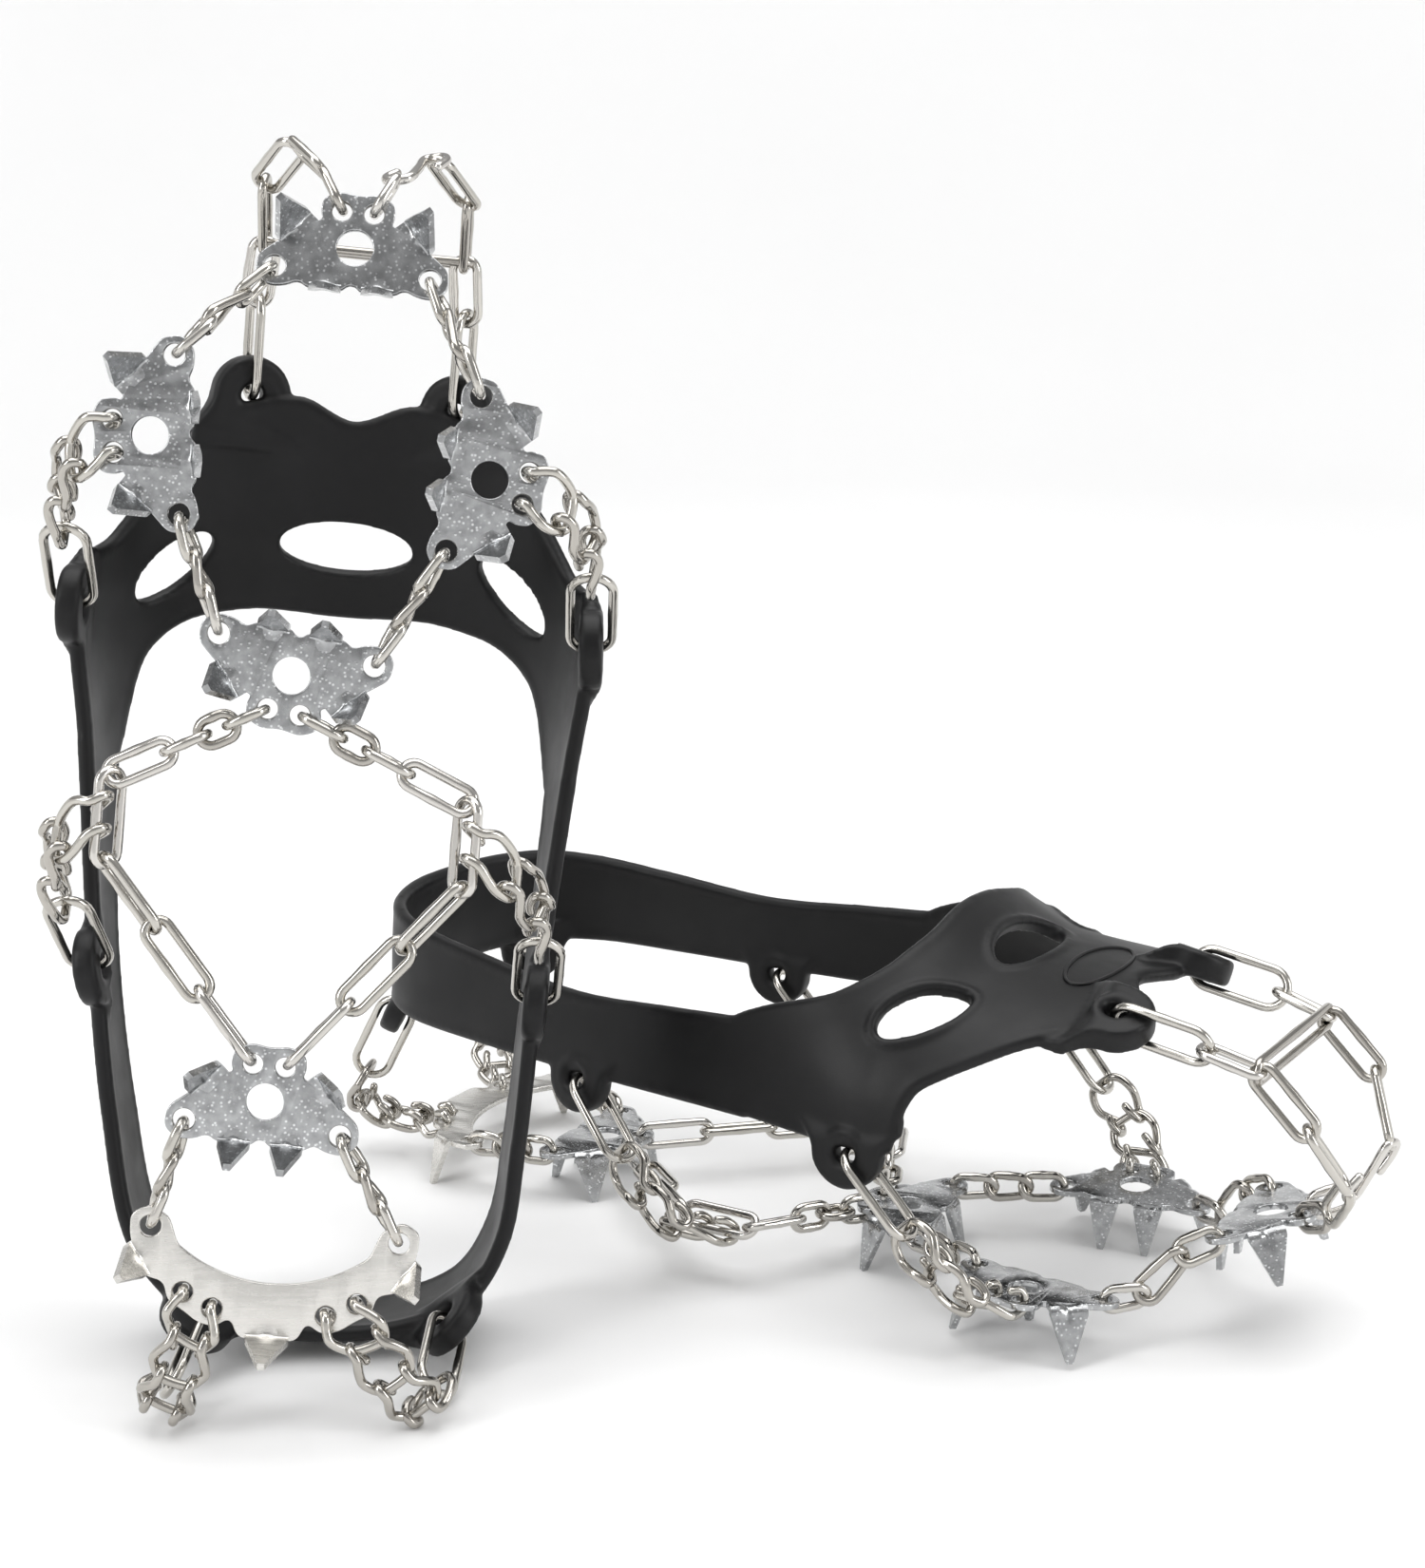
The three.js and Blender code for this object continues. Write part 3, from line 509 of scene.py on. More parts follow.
def toe_net():
    shape = Shape()
    forward = Vector((1, 0, 0.4))
    junctions = []
    for side in (1, -1):
        ear = hole_in("toe", EAR, side) + Vector((EAR_SLACK, 0, 0))
        corner, peak, cheek, junction = (
            Vector((x, y * side, z)) for x, y, z in (TOE_CORNER, TOE_PEAK, TOE_CHEEK, TOE_JUNCTION))
        ring_end = ring_ends("toe_left" if side > 0 else "toe_right")[0] - TOE_PULL * TOE_RING_BITE
        chain(shape, [peak, cheek, junction, ring_end], (20, 95, 5), forward)
        chain(shape, [ear, corner], (90,), UP)
        if side == HOOK_SIDE:
            hook(shape, corner, peak)
        else:
            chain(shape, [corner, peak], (20,), forward)
        junctions.append(junction)
    a, b = junctions
    across = (b - a).normalized() * 1.6
    oval(shape, a - across, b + across, LINK_WIDTH - 1, CHAIN_WIRE, UP, 90)
    return shape


def hook(shape, a, b):
    """The S-shaped hook between two chain ends."""
    along = (b - a).normalized()
    length = (b - a).length
    across = along.cross(Vector((1, 0, 0))).normalized()
    bend = 3.6
    path = (
        (4.5, -3.4), (0.5, -3.6), (-1.4, -1), (0.4, bend - 1), (length / 2, 0.4),
        (length - 0.4, 1 - bend), (length + 1.6, 1), (length - 0.5, bend), (length - 6, bend + 1.4))
    points = spline([a + along * s + across * t for s, t in path], 6)
    tube(shape, points, [CHAIN_WIRE / 2] * len(points), False)


def rung(shape, bar, hooked, outward, hooks, line=None):
    """One rung: a crossbar at bar, bowed legs, and hooks round what is at hooked."""
    reach, past, legs = hooks
    pitch = (hooked - bar).length
    along = (hooked - bar).normalized()
    square = outward.cross(along).normalized()
    normal = along.cross(square)
    across = line.normalized() if line else square
    w = RUNG_HALF_WIDTH
    half = (
        (pitch - 2.6, w - 0.6, -reach), (pitch - 0.4, w - 0.2, -reach * 1.05),
        (pitch + past, w, -0.5 * reach), (pitch + past, w, 0.5 * reach),
        (pitch - 0.4, w + 0.1, reach), (pitch - 3.2, w + 1.6, reach * 0.6 + legs * 0.4),
        (pitch - 5.8, RUNG_BULGE, legs * 0.9), (2.4, w + 1.7, legs * 0.4), (0.4, w + 0.1, 0),
        (0, w - 1.4, 0))
    path = [*half, *((s, -t, n) for s, t, n in reversed(half))]
    points = spline([bar + along * s + across * t + normal * n for s, t, n in path], 4)
    tube(shape, points, [LADDER_WIRE / 2] * len(points), False)


def ladder(name):
    facing, _, out = LADDERS[name]
    bars = ladder_bars(name)
    hook_a, hook_b = ladder_hooks(name)
    shape = Shape()
    for k, angle in enumerate(facing):
        outward = Vector(out) * math.sin(math.radians(angle))
        outward.z -= math.cos(math.radians(angle))
        outward.normalize()
        if k > 0:
            rung(shape, bars[k + 1], bars[k], outward, HOOK_OVER_BAR)
            continue
        hooks = HOOK_OVER_LINK if name.startswith("waist") else HOOK_THROUGH_PLATE
        rung(shape, bars[1], bars[0], outward, hooks, hook_a - hook_b)
    return shape


def ring(name):
    inner, outer = ring_ends(name)
    shape = Shape()
    oval(shape, outer, inner, RING_WIDTH, CHAIN_WIRE, Vector(LUGS[name][1]).normalized(), 90, 0.08)
    return shape


# ---- stamped plates ----

def rounded(points, reach, steps=5):
    """A closed outline with each corner turned into a short curve."""
    out = []
    count = len(points)
    for k in range(count):
        before, corner, after = points[k - 1], points[k], points[(k + 1) % count]
        a = corner + (before - corner) * min(0.45, reach / max((before - corner).length, 1e-3))
        b = corner + (after - corner) * min(0.45, reach / max((after - corner).length, 1e-3))
        for i in range(steps + 1):
            t = i / steps
            out.append(a.lerp(corner, t).lerp(corner.lerp(b, t), t))
    return out


def circle(x, y, radius, steps=36):
    turns = [2 * math.pi * k / steps for k in range(steps)]
    return [Vector((x + radius * math.cos(turn), y + radius * math.sin(turn))) for turn in turns]


def pressed_sheet(name, outline, holes, thickness, edge):
    """A flat sheet with rounded edges, from a closed outline and its holes, in millimetres."""
    curve = bpy.data.curves.new(name, "CURVE")
    curve.dimensions = "2D"
    curve.fill_mode = "BOTH"
    curve.extrude = thickness / 2 - edge
    curve.bevel_depth = edge
    curve.bevel_resolution = 2
    curve.offset = -edge
    for points in (outline, *holes):
        line = curve.splines.new("POLY")
        line.points.add(len(points) - 1)
        for point, place in zip(line.points, points):
            point.co = (place.x, place.y, 0, 1)
        line.use_cyclic_u = True
    return mesh_of(curve, name)


def mesh_of(curve, name):
    """The curve as a closed mesh."""
    holder = bpy.data.objects.new(name, curve)
    bpy.context.scene.collection.objects.link(holder)
    bpy.context.view_layer.update()
    evaluated = holder.evaluated_get(bpy.context.evaluated_depsgraph_get())
    mesh = bpy.data.meshes.new_from_object(evaluated)
    bpy.data.objects.remove(holder)
    work = bmesh.new()
    work.from_mesh(mesh)
    bmesh.ops.remove_doubles(work, verts=work.verts, dist=1e-4)
    bmesh.ops.recalc_face_normals(work, faces=work.faces)
    work.to_mesh(mesh)
    work.free()
    return mesh


BEND_RADIUS = 1.5


def spike(shape, u, v, angle, width, gusset):
    """A tapering spike, bent down out of the sheet at (u, v), with a pressed rib in the bend."""
    direction = math.radians(angle)
    out = Vector((math.cos(direction), math.sin(direction), 0))
    across = Vector((-out.y, out.x, 0))
    lead = 2.2
    quarter = BEND_RADIUS * math.pi / 2
    drop = SPIKE_LENGTH + PLATE_THICKNESS / 2 - BEND_RADIUS
    stations = [-lead + lead * k / 3 for k in range(3)]
    stations += [quarter * k / 6 for k in range(7)]
    stations += [quarter + drop * k / 9 for k in range(1, 10)]
    columns = 12
    grid = []
    for s in stations:
        turned = min(max(s, 0) / BEND_RADIUS, math.pi / 2)
        below = max(s - quarter, 0)
        centre = Vector((u, v, 0)) + out * (min(s, 0) + BEND_RADIUS * math.sin(turned) - BEND_RADIUS)
        centre.z -= BEND_RADIUS * (1 - math.cos(turned)) + below
        centre += out * SPIKE_SPLAY * below
        normal = out * math.sin(turned) + UP * math.cos(turned)
        taper = below / drop
        half = width / 2 * (1 - taper) + SPIKE_TIP / 2 * taper
        row = []
        for j in range(columns + 1):
            w = half * (2 * j / columns - 1)
            rib = gusset * math.exp(-(w / 1.3) ** 2 - ((s - quarter / 2) / 2.1) ** 2)
            row.append((centre + across * w, normal, rib))
        grid.append(row)
    thicken(shape, grid, PLATE_THICKNESS * 0.98)


def thicken(shape, grid, thickness):
    """A closed sheet from a grid of (point, normal, offset)."""
    rows, columns = len(grid), len(grid[0])
    points = []
    for side in (1, -1):
        for row in grid:
            points.extend(p + n * (side * thickness / 2 - offset) for p, n, offset in row)
    layer = rows * columns

    def top(i, j):
        return i * columns + j

    faces = []
    for i in range(rows - 1):
        for j in range(columns - 1):
            quad = (top(i, j), top(i + 1, j), top(i + 1, j + 1), top(i, j + 1))
            faces.append(quad)
            faces.append(tuple(k + layer for k in reversed(quad)))
    rim = [top(0, j) for j in range(columns)]
    rim += [top(i, columns - 1) for i in range(1, rows)]
    rim += [top(rows - 1, j) for j in range(columns - 2, -1, -1)]
    rim += [top(i, 0) for i in range(rows - 2, 0, -1)]
    for k, a in enumerate(rim):
        b = rim[(k + 1) % len(rim)]
        faces.append((a, b, b + layer, a + layer))
    shape.add(points, faces)


def add_mesh(shape, mesh):
    shape.add([v.co.copy() for v in mesh.vertices], [list(p.vertices) for p in mesh.polygons])


# One half of the stamping's outline, from between the ears round to between the narrow spikes.
PLATE_HALF = (
    (12.5, 1.0), (13.1, 4.4), (11.4, 8.1), (8.2, 8.6), (6.2, 7.9), (5.6, 9.6), (0.4, 17.2), (-3.4, 21.8),
    (-8, 22.2), (-10.6, 19), (-10.2, 15), (-8.8, 12.2), (-10.4, 9.8), (-10.4, 2.2), (-9, 0.8))
# Spikes of one half: place, angle, width at the root, height of the pressed rib.
BROAD_SPIKE = (4.3, 14.6, 49, 9.6, 0.7)
NARROW_SPIKE = (-10.5, 6, 180, 7.4, 0.45)
HEEL_MIDDLE_SPIKE = (HEEL_REAR - 0.1, 0, 180, 10, 0.6)
HEEL_END_SPIKE = (34.9, 30.9, 125, 8.6, 0.5)
# The heel plate's outline behind its end holes: the pads of the paired holes and the notches between.
HEEL_PADS = (
    (31.5, 29.2), (30.4, 24.4), (26, 23.2), (24, 19.6), (21.6, 16.4), (20.6, 12.4), (23, 8.8),
    (HEEL_REAR, 6.6))
CORNER_REACH = 1.8
EDGE_ROUND = 0.28


def mirrored_outline(half):
    """A closed outline from its left half."""
    return [Vector(p) for p in half] + [Vector((u, -v)) for u, v in reversed(half)]


def add_sheet(shape, name, half, holes):
    outline = rounded(mirrored_outline(half), CORNER_REACH)
    add_mesh(shape, pressed_sheet(name, outline, holes, PLATE_THICKNESS, EDGE_ROUND))


def add_spike(shape, place, side):
    u, v, angle, width, rib = place
    spike(shape, u, side * v, side * angle, width, rib)


def spike_plate():
    holes = [circle(0, 0, CENTRE_HOLE_RADIUS)]
    for side in (1, -1):
        holes += [circle(h[0], side * h[1], h[2]) for h in (EAR, END_HOLE)]
    shape = Shape()
    add_sheet(shape, "spike_plate", PLATE_HALF, holes)
    for side in (1, -1):
        add_spike(shape, BROAD_SPIKE, side)
        add_spike(shape, NARROW_SPIKE, side)
    return shape


def heel_plate():
    inner = []
    for degrees in range(3, 40, 4):
        angle = math.radians(degrees)
        across = HEEL_ARC_RADIUS * math.sin(angle)
        inner.append((HEEL_ARC_X - HEEL_ARC_RADIUS * math.cos(angle), across))
    x, y = HEEL_ENDS
    round_end = [(x + 2.4, y - 4.2), (x + 4.9, y + 0.5), (x + 2.6, y + 4.6), (x - 2.6, y + 4.4)]
    holes = []
    for side in (1, -1):
        holes.append(circle(x, side * y, END_HOLE[2]))
        holes += [circle(hx, side * hy, EAR[2]) for hx, hy in HEEL_PAIRS]
    shape = Shape()
    add_sheet(shape, "heel_plate", [*inner, *round_end, *HEEL_PADS], holes)
    add_spike(shape, HEEL_MIDDLE_SPIKE, 1)
    for side in (1, -1):
        add_spike(shape, HEEL_END_SPIKE, side)
    return shape


# ---- harness ----

def full_plan():
    """The harness's plan at the shoulder: from the left toe lug round the heel to the right one."""
    left = [(x, w + FOREFOOT_SHIFT) for x, w in reversed(FOREFOOT)]
    right = [(x, FOREFOOT_SHIFT - w) for x, w in FOREFOOT]
    return spline([Vector((x, y, 0)) for x, y in (*left, *BAND_PLAN, *right)], 24)


PLAN = full_plan()
SIDE_WIDTHS = {
    side: sorted((p.x, abs(p.y)) for p in PLAN if p.y * side > 0 and p.x > 20) for side in (1, -1)}


def half_width(x, side):
    return table(SIDE_WIDTHS[side], x)


def skin(x, angle):
    """A point of the shoe's upper: angle from the top of the foot to its side."""
    side = -1 if angle < 0 else 1
    width = half_width(x, side)
    rise = max(math.cos(angle), 0) ** smooth_table(TOP_FLATNESS, x)
    height = SHOULDER + (smooth_table(INSTEP, x) - SHOULDER) * rise
    return Vector((x, width * math.sin(angle), height))


def skin_normal(x, angle):
    along = skin(x + 1, angle) - skin(x - 1, angle)
    around = skin(x, angle + 0.01) - skin(x, angle - 0.01)
    return along.cross(around).normalized()


def panel_edge(values, across):
    rows = [(k / (len(values) - 1), value) for k, value in enumerate(values)]
    mirrored = [(-x, value) for x, value in reversed(rows[1:])] + rows
    return smooth_table(mirrored, across)


BEAD = HARNESS_WALL * 0.58
PANEL_COLUMNS = 120
PANEL_ROWS = 30


def bead(shape, points):
    """The rounded lip along a free edge."""
    tube(shape, points, [BEAD] * len(points), False)


def instep_panel(shape):
    grid = []
    limit = math.radians(PANEL_SIDE_ANGLE)
    for j in range(PANEL_COLUMNS + 1):
        across = 2 * j / PANEL_COLUMNS - 1
        rear, front = panel_edge(PANEL_REAR, across), panel_edge(PANEL_FRONT, across)
        row = []
        for i in range(PANEL_ROWS + 1):
            x = rear + (front - rear) * i / PANEL_ROWS
            row.append((skin(x, across * limit), skin_normal(x, across * limit), 0))
        grid.append(row)
    thicken(shape, [list(reversed(row)) for row in grid], HARNESS_WALL)
    margin = round(PANEL_COLUMNS * 0.1)
    bead(shape, [row[0][0] for row in grid[margin:-margin]])
    bead(shape, [row[-1][0] for row in grid])
    for side in (1, -1):
        bead(shape, [skin(x, side * limit) for x in range(*SIDE_BEAD)])


def leaned(foot, outward, z):
    """The point at height z above a point of the plan, on the shoe's leaning side."""
    rise = max(z - SHOULDER, 0) / (smooth_table(INSTEP, foot.x) - SHOULDER)
    inset = abs(foot.y) * (1 - math.sqrt(max(1 - rise * rise, 0)))
    return Vector((foot.x, foot.y, z)) - outward * inset


def plan_outward(k):
    """The direction out of the shoe at one point of the plan."""
    tangent = (PLAN[min(k + 1, len(PLAN) - 1)] - PLAN[max(k - 1, 0)]).normalized()
    return Vector((tangent.y, -tangent.x, 0))


def band(shape):
    grid = []
    for k, foot in enumerate(PLAN):
        if foot.x > BAND_FRONT:
            continue
        outward = plan_outward(k)
        height = smooth_table(BAND_HEIGHT, foot.x)
        row = [
            (leaned(foot, outward, BAND_LOW + height * (1 - i / 8)), outward, 0) for i in range(9)]
        grid.append(row)
    thicken(shape, grid, HARNESS_WALL)
    bead(shape, [row[0][0] for row in grid if row[0][0].x < BAND_BEAD_FRONT])
    bead(shape, [row[-1][0] for row in grid])


LUG_FLARE = 4.5


def lug_outline(radius, neck):
    """A tongue: round about the eye, and flared where it grows out of the harness."""
    rise = neck * 0.6
    sides = [(radius + LUG_FLARE * (k / 6) ** 2, rise * k / 6) for k in range(1, 7)]
    arc = [(math.pi * (1 + k / 24)) for k in range(25)]
    points = [Vector((radius + LUG_FLARE, neck)), Vector((-radius - LUG_FLARE, neck))]
    points += [Vector((-x, y)) for x, y in reversed(sides)]
    points += [Vector((radius * math.cos(a), radius * math.sin(a))) for a in arc]
    points += [Vector((x, y)) for x, y in sides]
    return points


def skin_offset(point, outward, toe):
    """How far the middle of the harness wall lies from a point, along outward."""
    if toe:
        side = 1 if point.y > 0 else -1
        angle = math.asin(max(-1, min(1, point.y / half_width(point.x, side))))
        return (skin(point.x, angle).z - point.z) / outward.z
    k = min(range(len(PLAN)), key=lambda i: (PLAN[i].xy - point.xy).length)
    return (leaned(PLAN[k], plan_outward(k), point.z) - point).dot(outward)


def lug(shape, name):
    """A lug in the plane of its ring, its neck bent into the harness wall."""
    eye, facing = (Vector(value) for value in LUGS[name])
    toe = name.startswith("toe")
    neck = TOE_LUG_NECK if toe else LUG_NECK
    radius = TOE_LUG_RADIUS if toe else LUG_RADIUS
    thickness = TOE_LUG_THICKNESS if toe else LUG_THICKNESS
    inner, outer = ring_ends(name)
    pull = (inner - outer).normalized()
    outward = (facing - pull * facing.dot(pull)).normalized()
    across = (Vector((-1, 0, 0)) if toe else UP).cross(outward).normalized()
    place = basis(across, outward.cross(across), outward, eye)
    flat = pressed_sheet(name, lug_outline(radius, neck), [circle(0, 0, EYE_RADIUS)], thickness, 1.2)
    points = []
    for vertex in flat.vertices:
        local = vertex.co.copy()
        share_in = min(max((local.y - 2) / (neck - 3), 0), 1)
        share_in = share_in * share_in * (3 - 2 * share_in)
        drop = skin_offset(place @ Vector((local.x, local.y, 0)), outward, toe)
        local.z = local.z * (1 - 0.5 * share_in) + max(min(drop, 6), -6) * share_in
        points.append(place @ local)
    shape.add(points, [list(p.vertices) for p in flat.polygons])
    for side in (1, -1):
        boss = [
            place @ Vector((p.x, p.y, side * (thickness / 2 - EYE_LIP_SINK)))
            for p in circle(0, 0, EYE_RADIUS + 2.2, 48)]
        tube(shape, boss, [EYE_LIP] * len(boss), True)


def oval_line(spec, grow, steps=64):
    """Points of the skin, and their normals, on an oval of the panel."""
    x, side, length, width, turn = spec
    angle = math.radians(side)
    radius = (skin(x, angle + 0.01) - skin(x, angle - 0.01)).length / 0.02
    tilt = math.radians(turn)
    out = []
    for k in range(steps):
        t = 2 * math.pi * k / steps
        a, b = (length / 2 + grow) * math.cos(t), (width / 2 + grow) * math.sin(t)
        dx, ds = a * math.cos(tilt) - b * math.sin(tilt), a * math.sin(tilt) + b * math.cos(tilt)
        out.append((skin(x + dx, angle + ds / radius), skin_normal(x + dx, angle + ds / radius)))
    return out


def cut_ovals(target):
    """Cuts the panel's three ovals, each by a slab between two copies of its outline."""
    for spec in OVALS:
        line = oval_line(spec, 0)
        steps = len(line)
        points = [p + n * 8 for p, n in line] + [p - n * 8 for p, n in line]
        faces = [tuple(range(steps)), tuple(range(2 * steps - 1, steps - 1, -1))]
        for k in range(steps):
            n = (k + 1) % steps
            faces.append((k, k + steps, n + steps, n))
        cutter = bpy.data.objects.new("oval_cutter", Shape().add(points, faces).mesh("oval_cutter"))
        fix_normals(cutter.data)
        bpy.context.scene.collection.objects.link(cutter)
        cut = target.modifiers.new("oval", "BOOLEAN")
        cut.operation = "DIFFERENCE"
        cut.solver = "EXACT"
        cut.object = cutter
        apply_modifiers(target)
        bpy.data.objects.remove(cutter)


def fix_normals(mesh):
    work = bmesh.new()
    work.from_mesh(mesh)
    bmesh.ops.recalc_face_normals(work, faces=work.faces)
    work.to_mesh(mesh)
    work.free()


def apply_modifiers(target):
    bpy.context.view_layer.update()
    evaluated = target.evaluated_get(bpy.context.evaluated_depsgraph_get())
    mesh = bpy.data.meshes.new_from_object(evaluated)
    target.modifiers.clear()
    target.data = mesh


def badge(shape):
    """The plain raised oval in front of the middle opening."""
    line = [p + n * (HARNESS_WALL / 2 + 0.1) for p, n in oval_line(BADGE, 0, 72)]
    tube(shape, line, [BADGE_WIRE] * len(line), True)


PANEL_VOXEL = 0.9
HARNESS_VOXEL = 0.75
SMOOTHING_ROUNDS = 6


def harness():
    """The panel with its ovals, joined with the band and the lugs into one smooth moulding."""
    panel = Shape()
    instep_panel(panel)
    work = bpy.data.objects.new("harness_work", panel.mesh("harness_work"))
    fix_normals(work.data)
    bpy.context.scene.collection.objects.link(work)
    remesh(work, PANEL_VOXEL)
    cut_ovals(work)
    shape = Shape()
    add_mesh(shape, work.data)
    bpy.data.objects.remove(work)
    band(shape)
    for name in LUGS:
        lug(shape, name)
    for spec in OVALS:
        rim = [p + n * (HARNESS_WALL / 2 - 0.5) for p, n in oval_line(spec, 1.5)]
        tube(shape, rim, [OVAL_LIP] * len(rim), True)
    whole = bpy.data.objects.new("harness_work", shape.mesh("harness_work"))
    bpy.context.scene.collection.objects.link(whole)
    remesh(whole, HARNESS_VOXEL)
    relax = whole.modifiers.new("relax", "SMOOTH")
    relax.factor = 0.5
    relax.iterations = SMOOTHING_ROUNDS
    apply_modifiers(whole)
    mesh = whole.data
    bpy.data.objects.remove(whole)
    out = Shape()
    add_mesh(out, mesh)
    badge(out)
    return out


def remesh(target, size):
    join = target.modifiers.new("union", "REMESH")
    join.mode = "VOXEL"
    join.voxel_size = size
    join.use_smooth_shade = True
    apply_modifiers(target)


# ---- materials ----

def new_material(name):
    material = bpy.data.materials.new(name)
    material.use_nodes = True
    return material, material.node_tree.nodes, material.node_tree.links


def grey(value, blue=1.0):
    """A grey, or a faintly blue one if blue is over 1."""
    return (value, value, value * blue)


def zinc(value):
    return (value * 0.97, value * 0.985, value)


def noise(nodes, links, scale, detail):
    where = nodes.new("ShaderNodeTexCoord")
    texture = nodes.new("ShaderNodeTexNoise")
    texture.inputs["Scale"].default_value = scale
    texture.inputs["Detail"].default_value = detail
    links.new(where.outputs["Object"], texture.inputs["Vector"])
    return texture.outputs["Fac"]


def ramp(nodes, links, source, stops):
    node = nodes.new("ShaderNodeValToRGB")
    node.color_ramp.elements[0].position = stops[0][0]
    node.color_ramp.elements[0].color = (*stops[0][1], 1)
    node.color_ramp.elements[1].position = stops[-1][0]
    node.color_ramp.elements[1].color = (*stops[-1][1], 1)
    for position, colour in stops[1:-1]:
        node.color_ramp.elements.new(position).color = (*colour, 1)
    links.new(source, node.inputs["Fac"])
    return node.outputs["Color"]


def span(nodes, links, source, low, high, start=0.3, end=0.7):
    node = nodes.new("ShaderNodeMapRange")
    node.inputs["From Min"].default_value = start
    node.inputs["From Max"].default_value = end
    node.inputs["To Min"].default_value = low
    node.inputs["To Max"].default_value = high
    links.new(source, node.inputs["Value"])
    return node.outputs["Result"]


def bump(nodes, links, height, shader, strength, distance):
    node = nodes.new("ShaderNodeBump")
    node.inputs["Strength"].default_value = strength
    node.inputs["Distance"].default_value = distance
    links.new(height, node.inputs["Height"])
    links.new(node.outputs["Normal"], shader.inputs["Normal"])


def rubber():
    """Charcoal moulded rubber: soft sheen, fine grain, faint handling marks."""
    material, nodes, links = new_material("moulded_rubber")
    shader = nodes["Principled BSDF"]
    marks = noise(nodes, links, 28, 6)
    tones = ((0.3, grey(0.004, 1.08)), (0.55, grey(0.006, 1.08)), (0.75, grey(0.010, 1.08)))
    links.new(ramp(nodes, links, marks, tones), shader.inputs["Base Color"])
    links.new(span(nodes, links, noise(nodes, links, 60, 5), 0.38, 0.52), shader.inputs["Roughness"])
    bump(nodes, links, noise(nodes, links, 2400, 2), shader, 0.10, 0.0002)
    shader.inputs["Specular IOR Level"].default_value = 0.27
    return material


def galvanised():
    """Zinc-coated sheet: fine bright specks on grey, with duller patches."""
    material, nodes, links = new_material("galvanised_sheet")
    shader = nodes["Principled BSDF"]
    shader.inputs["Metallic"].default_value = 1.0
    where = nodes.new("ShaderNodeTexCoord")
    cells = nodes.new("ShaderNodeTexVoronoi")
    cells.inputs["Scale"].default_value = 900
    links.new(where.outputs["Object"], cells.inputs["Vector"])
    specks = span(nodes, links, cells.outputs["Distance"], 1, 0, 0.16, 0.34)
    patches = noise(nodes, links, 420, 3)
    sheet_tone = ramp(nodes, links, patches, ((0.3, zinc(0.33)), (0.7, zinc(0.50))))
    mixed = nodes.new("ShaderNodeMix")
    mixed.data_type = "RGBA"
    links.new(specks, mixed.inputs["Factor"])
    links.new(sheet_tone, mixed.inputs["A"])
    mixed.inputs["B"].default_value = (*zinc(0.80), 1)
    links.new(mixed.outputs["Result"], shader.inputs["Base Color"])
    links.new(span(nodes, links, noise(nodes, links, 240, 4), 0.16, 0.28), shader.inputs["Roughness"])
    bump(nodes, links, specks, shader, 0.18, 0.0001)
    return material


def satin():
    """Plain bright sheet of the heel plate, with long faint rolling marks."""
    material, nodes, links = new_material("satin_sheet")
    shader = nodes["Principled BSDF"]
    shader.inputs["Metallic"].default_value = 1.0
    where = nodes.new("ShaderNodeTexCoord")
    stretch = nodes.new("ShaderNodeMapping")
    stretch.inputs["Scale"].default_value = (1, 14, 14)
    links.new(where.outputs["Object"], stretch.inputs["Vector"])
    grain = nodes.new("ShaderNodeTexNoise")
    grain.inputs["Scale"].default_value = 90
    grain.inputs["Detail"].default_value = 5
    links.new(stretch.outputs["Vector"], grain.inputs["Vector"])
    tones = ((0.3, (0.64, 0.63, 0.60)), (0.7, (0.74, 0.72, 0.69)))
    links.new(ramp(nodes, links, grain.outputs["Fac"], tones), shader.inputs["Base Color"])
    links.new(span(nodes, links, grain.outputs["Fac"], 0.20, 0.34), shader.inputs["Roughness"])
    bump(nodes, links, grain.outputs["Fac"], shader, 0.06, 0.0001)
    return material


def chain_steel():
    """Bright tumbled wire: each link a little warmer or greyer, with small nicks."""
    material, nodes, links = new_material("chain_wire")
    shader = nodes["Principled BSDF"]
    shader.inputs["Metallic"].default_value = 1.0
    link = nodes.new("ShaderNodeNewGeometry")
    tones = ((0.0, (0.40, 0.38, 0.35)), (0.5, (0.51, 0.49, 0.45)), (1.0, (0.62, 0.60, 0.57)))
    links.new(ramp(nodes, links, link.outputs["Random Per Island"], tones), shader.inputs["Base Color"])
    links.new(span(nodes, links, noise(nodes, links, 350, 4), 0.10, 0.20), shader.inputs["Roughness"])
    bump(nodes, links, noise(nodes, links, 900, 3), shader, 0.08, 0.0001)
    return material


def paper_floor():
    material, nodes, links = new_material("pale_floor")
    shader = nodes["Principled BSDF"]
    cloud = noise(nodes, links, 2, 2)
    tones = ((0.3, grey(0.86)), (0.7, grey(0.88)))
    links.new(ramp(nodes, links, cloud, tones), shader.inputs["Base Color"])
    shader.inputs["Roughness"].default_value = 0.55
    return material


# ---- the two cleats ----

# Where each cleat's own origin stands, in millimetres, and how it is turned, in degrees.
UPRIGHT_AT = (-111.9, -127.3, 7.5)
UPRIGHT_TURNS = (3.8, -9.8, 5.8)
FLAT_AT = (-98.7, 86.1, 0.02)
FLAT_TURN = -31


def upright_place():
    turn, lean, tilt = (math.radians(a) for a in UPRIGHT_TURNS)
    stood = basis(Vector((0, 0, 1)), Vector((1, 0, 0)), Vector((0, 1, 0)), Vector((0, 0, 0)))
    pose = Matrix.Rotation(turn, 4, "Z") @ Matrix.Rotation(lean, 4, "X") @ Matrix.Rotation(tilt, 4, "Y")
    return Matrix.Translation(UPRIGHT_AT) @ pose @ stood


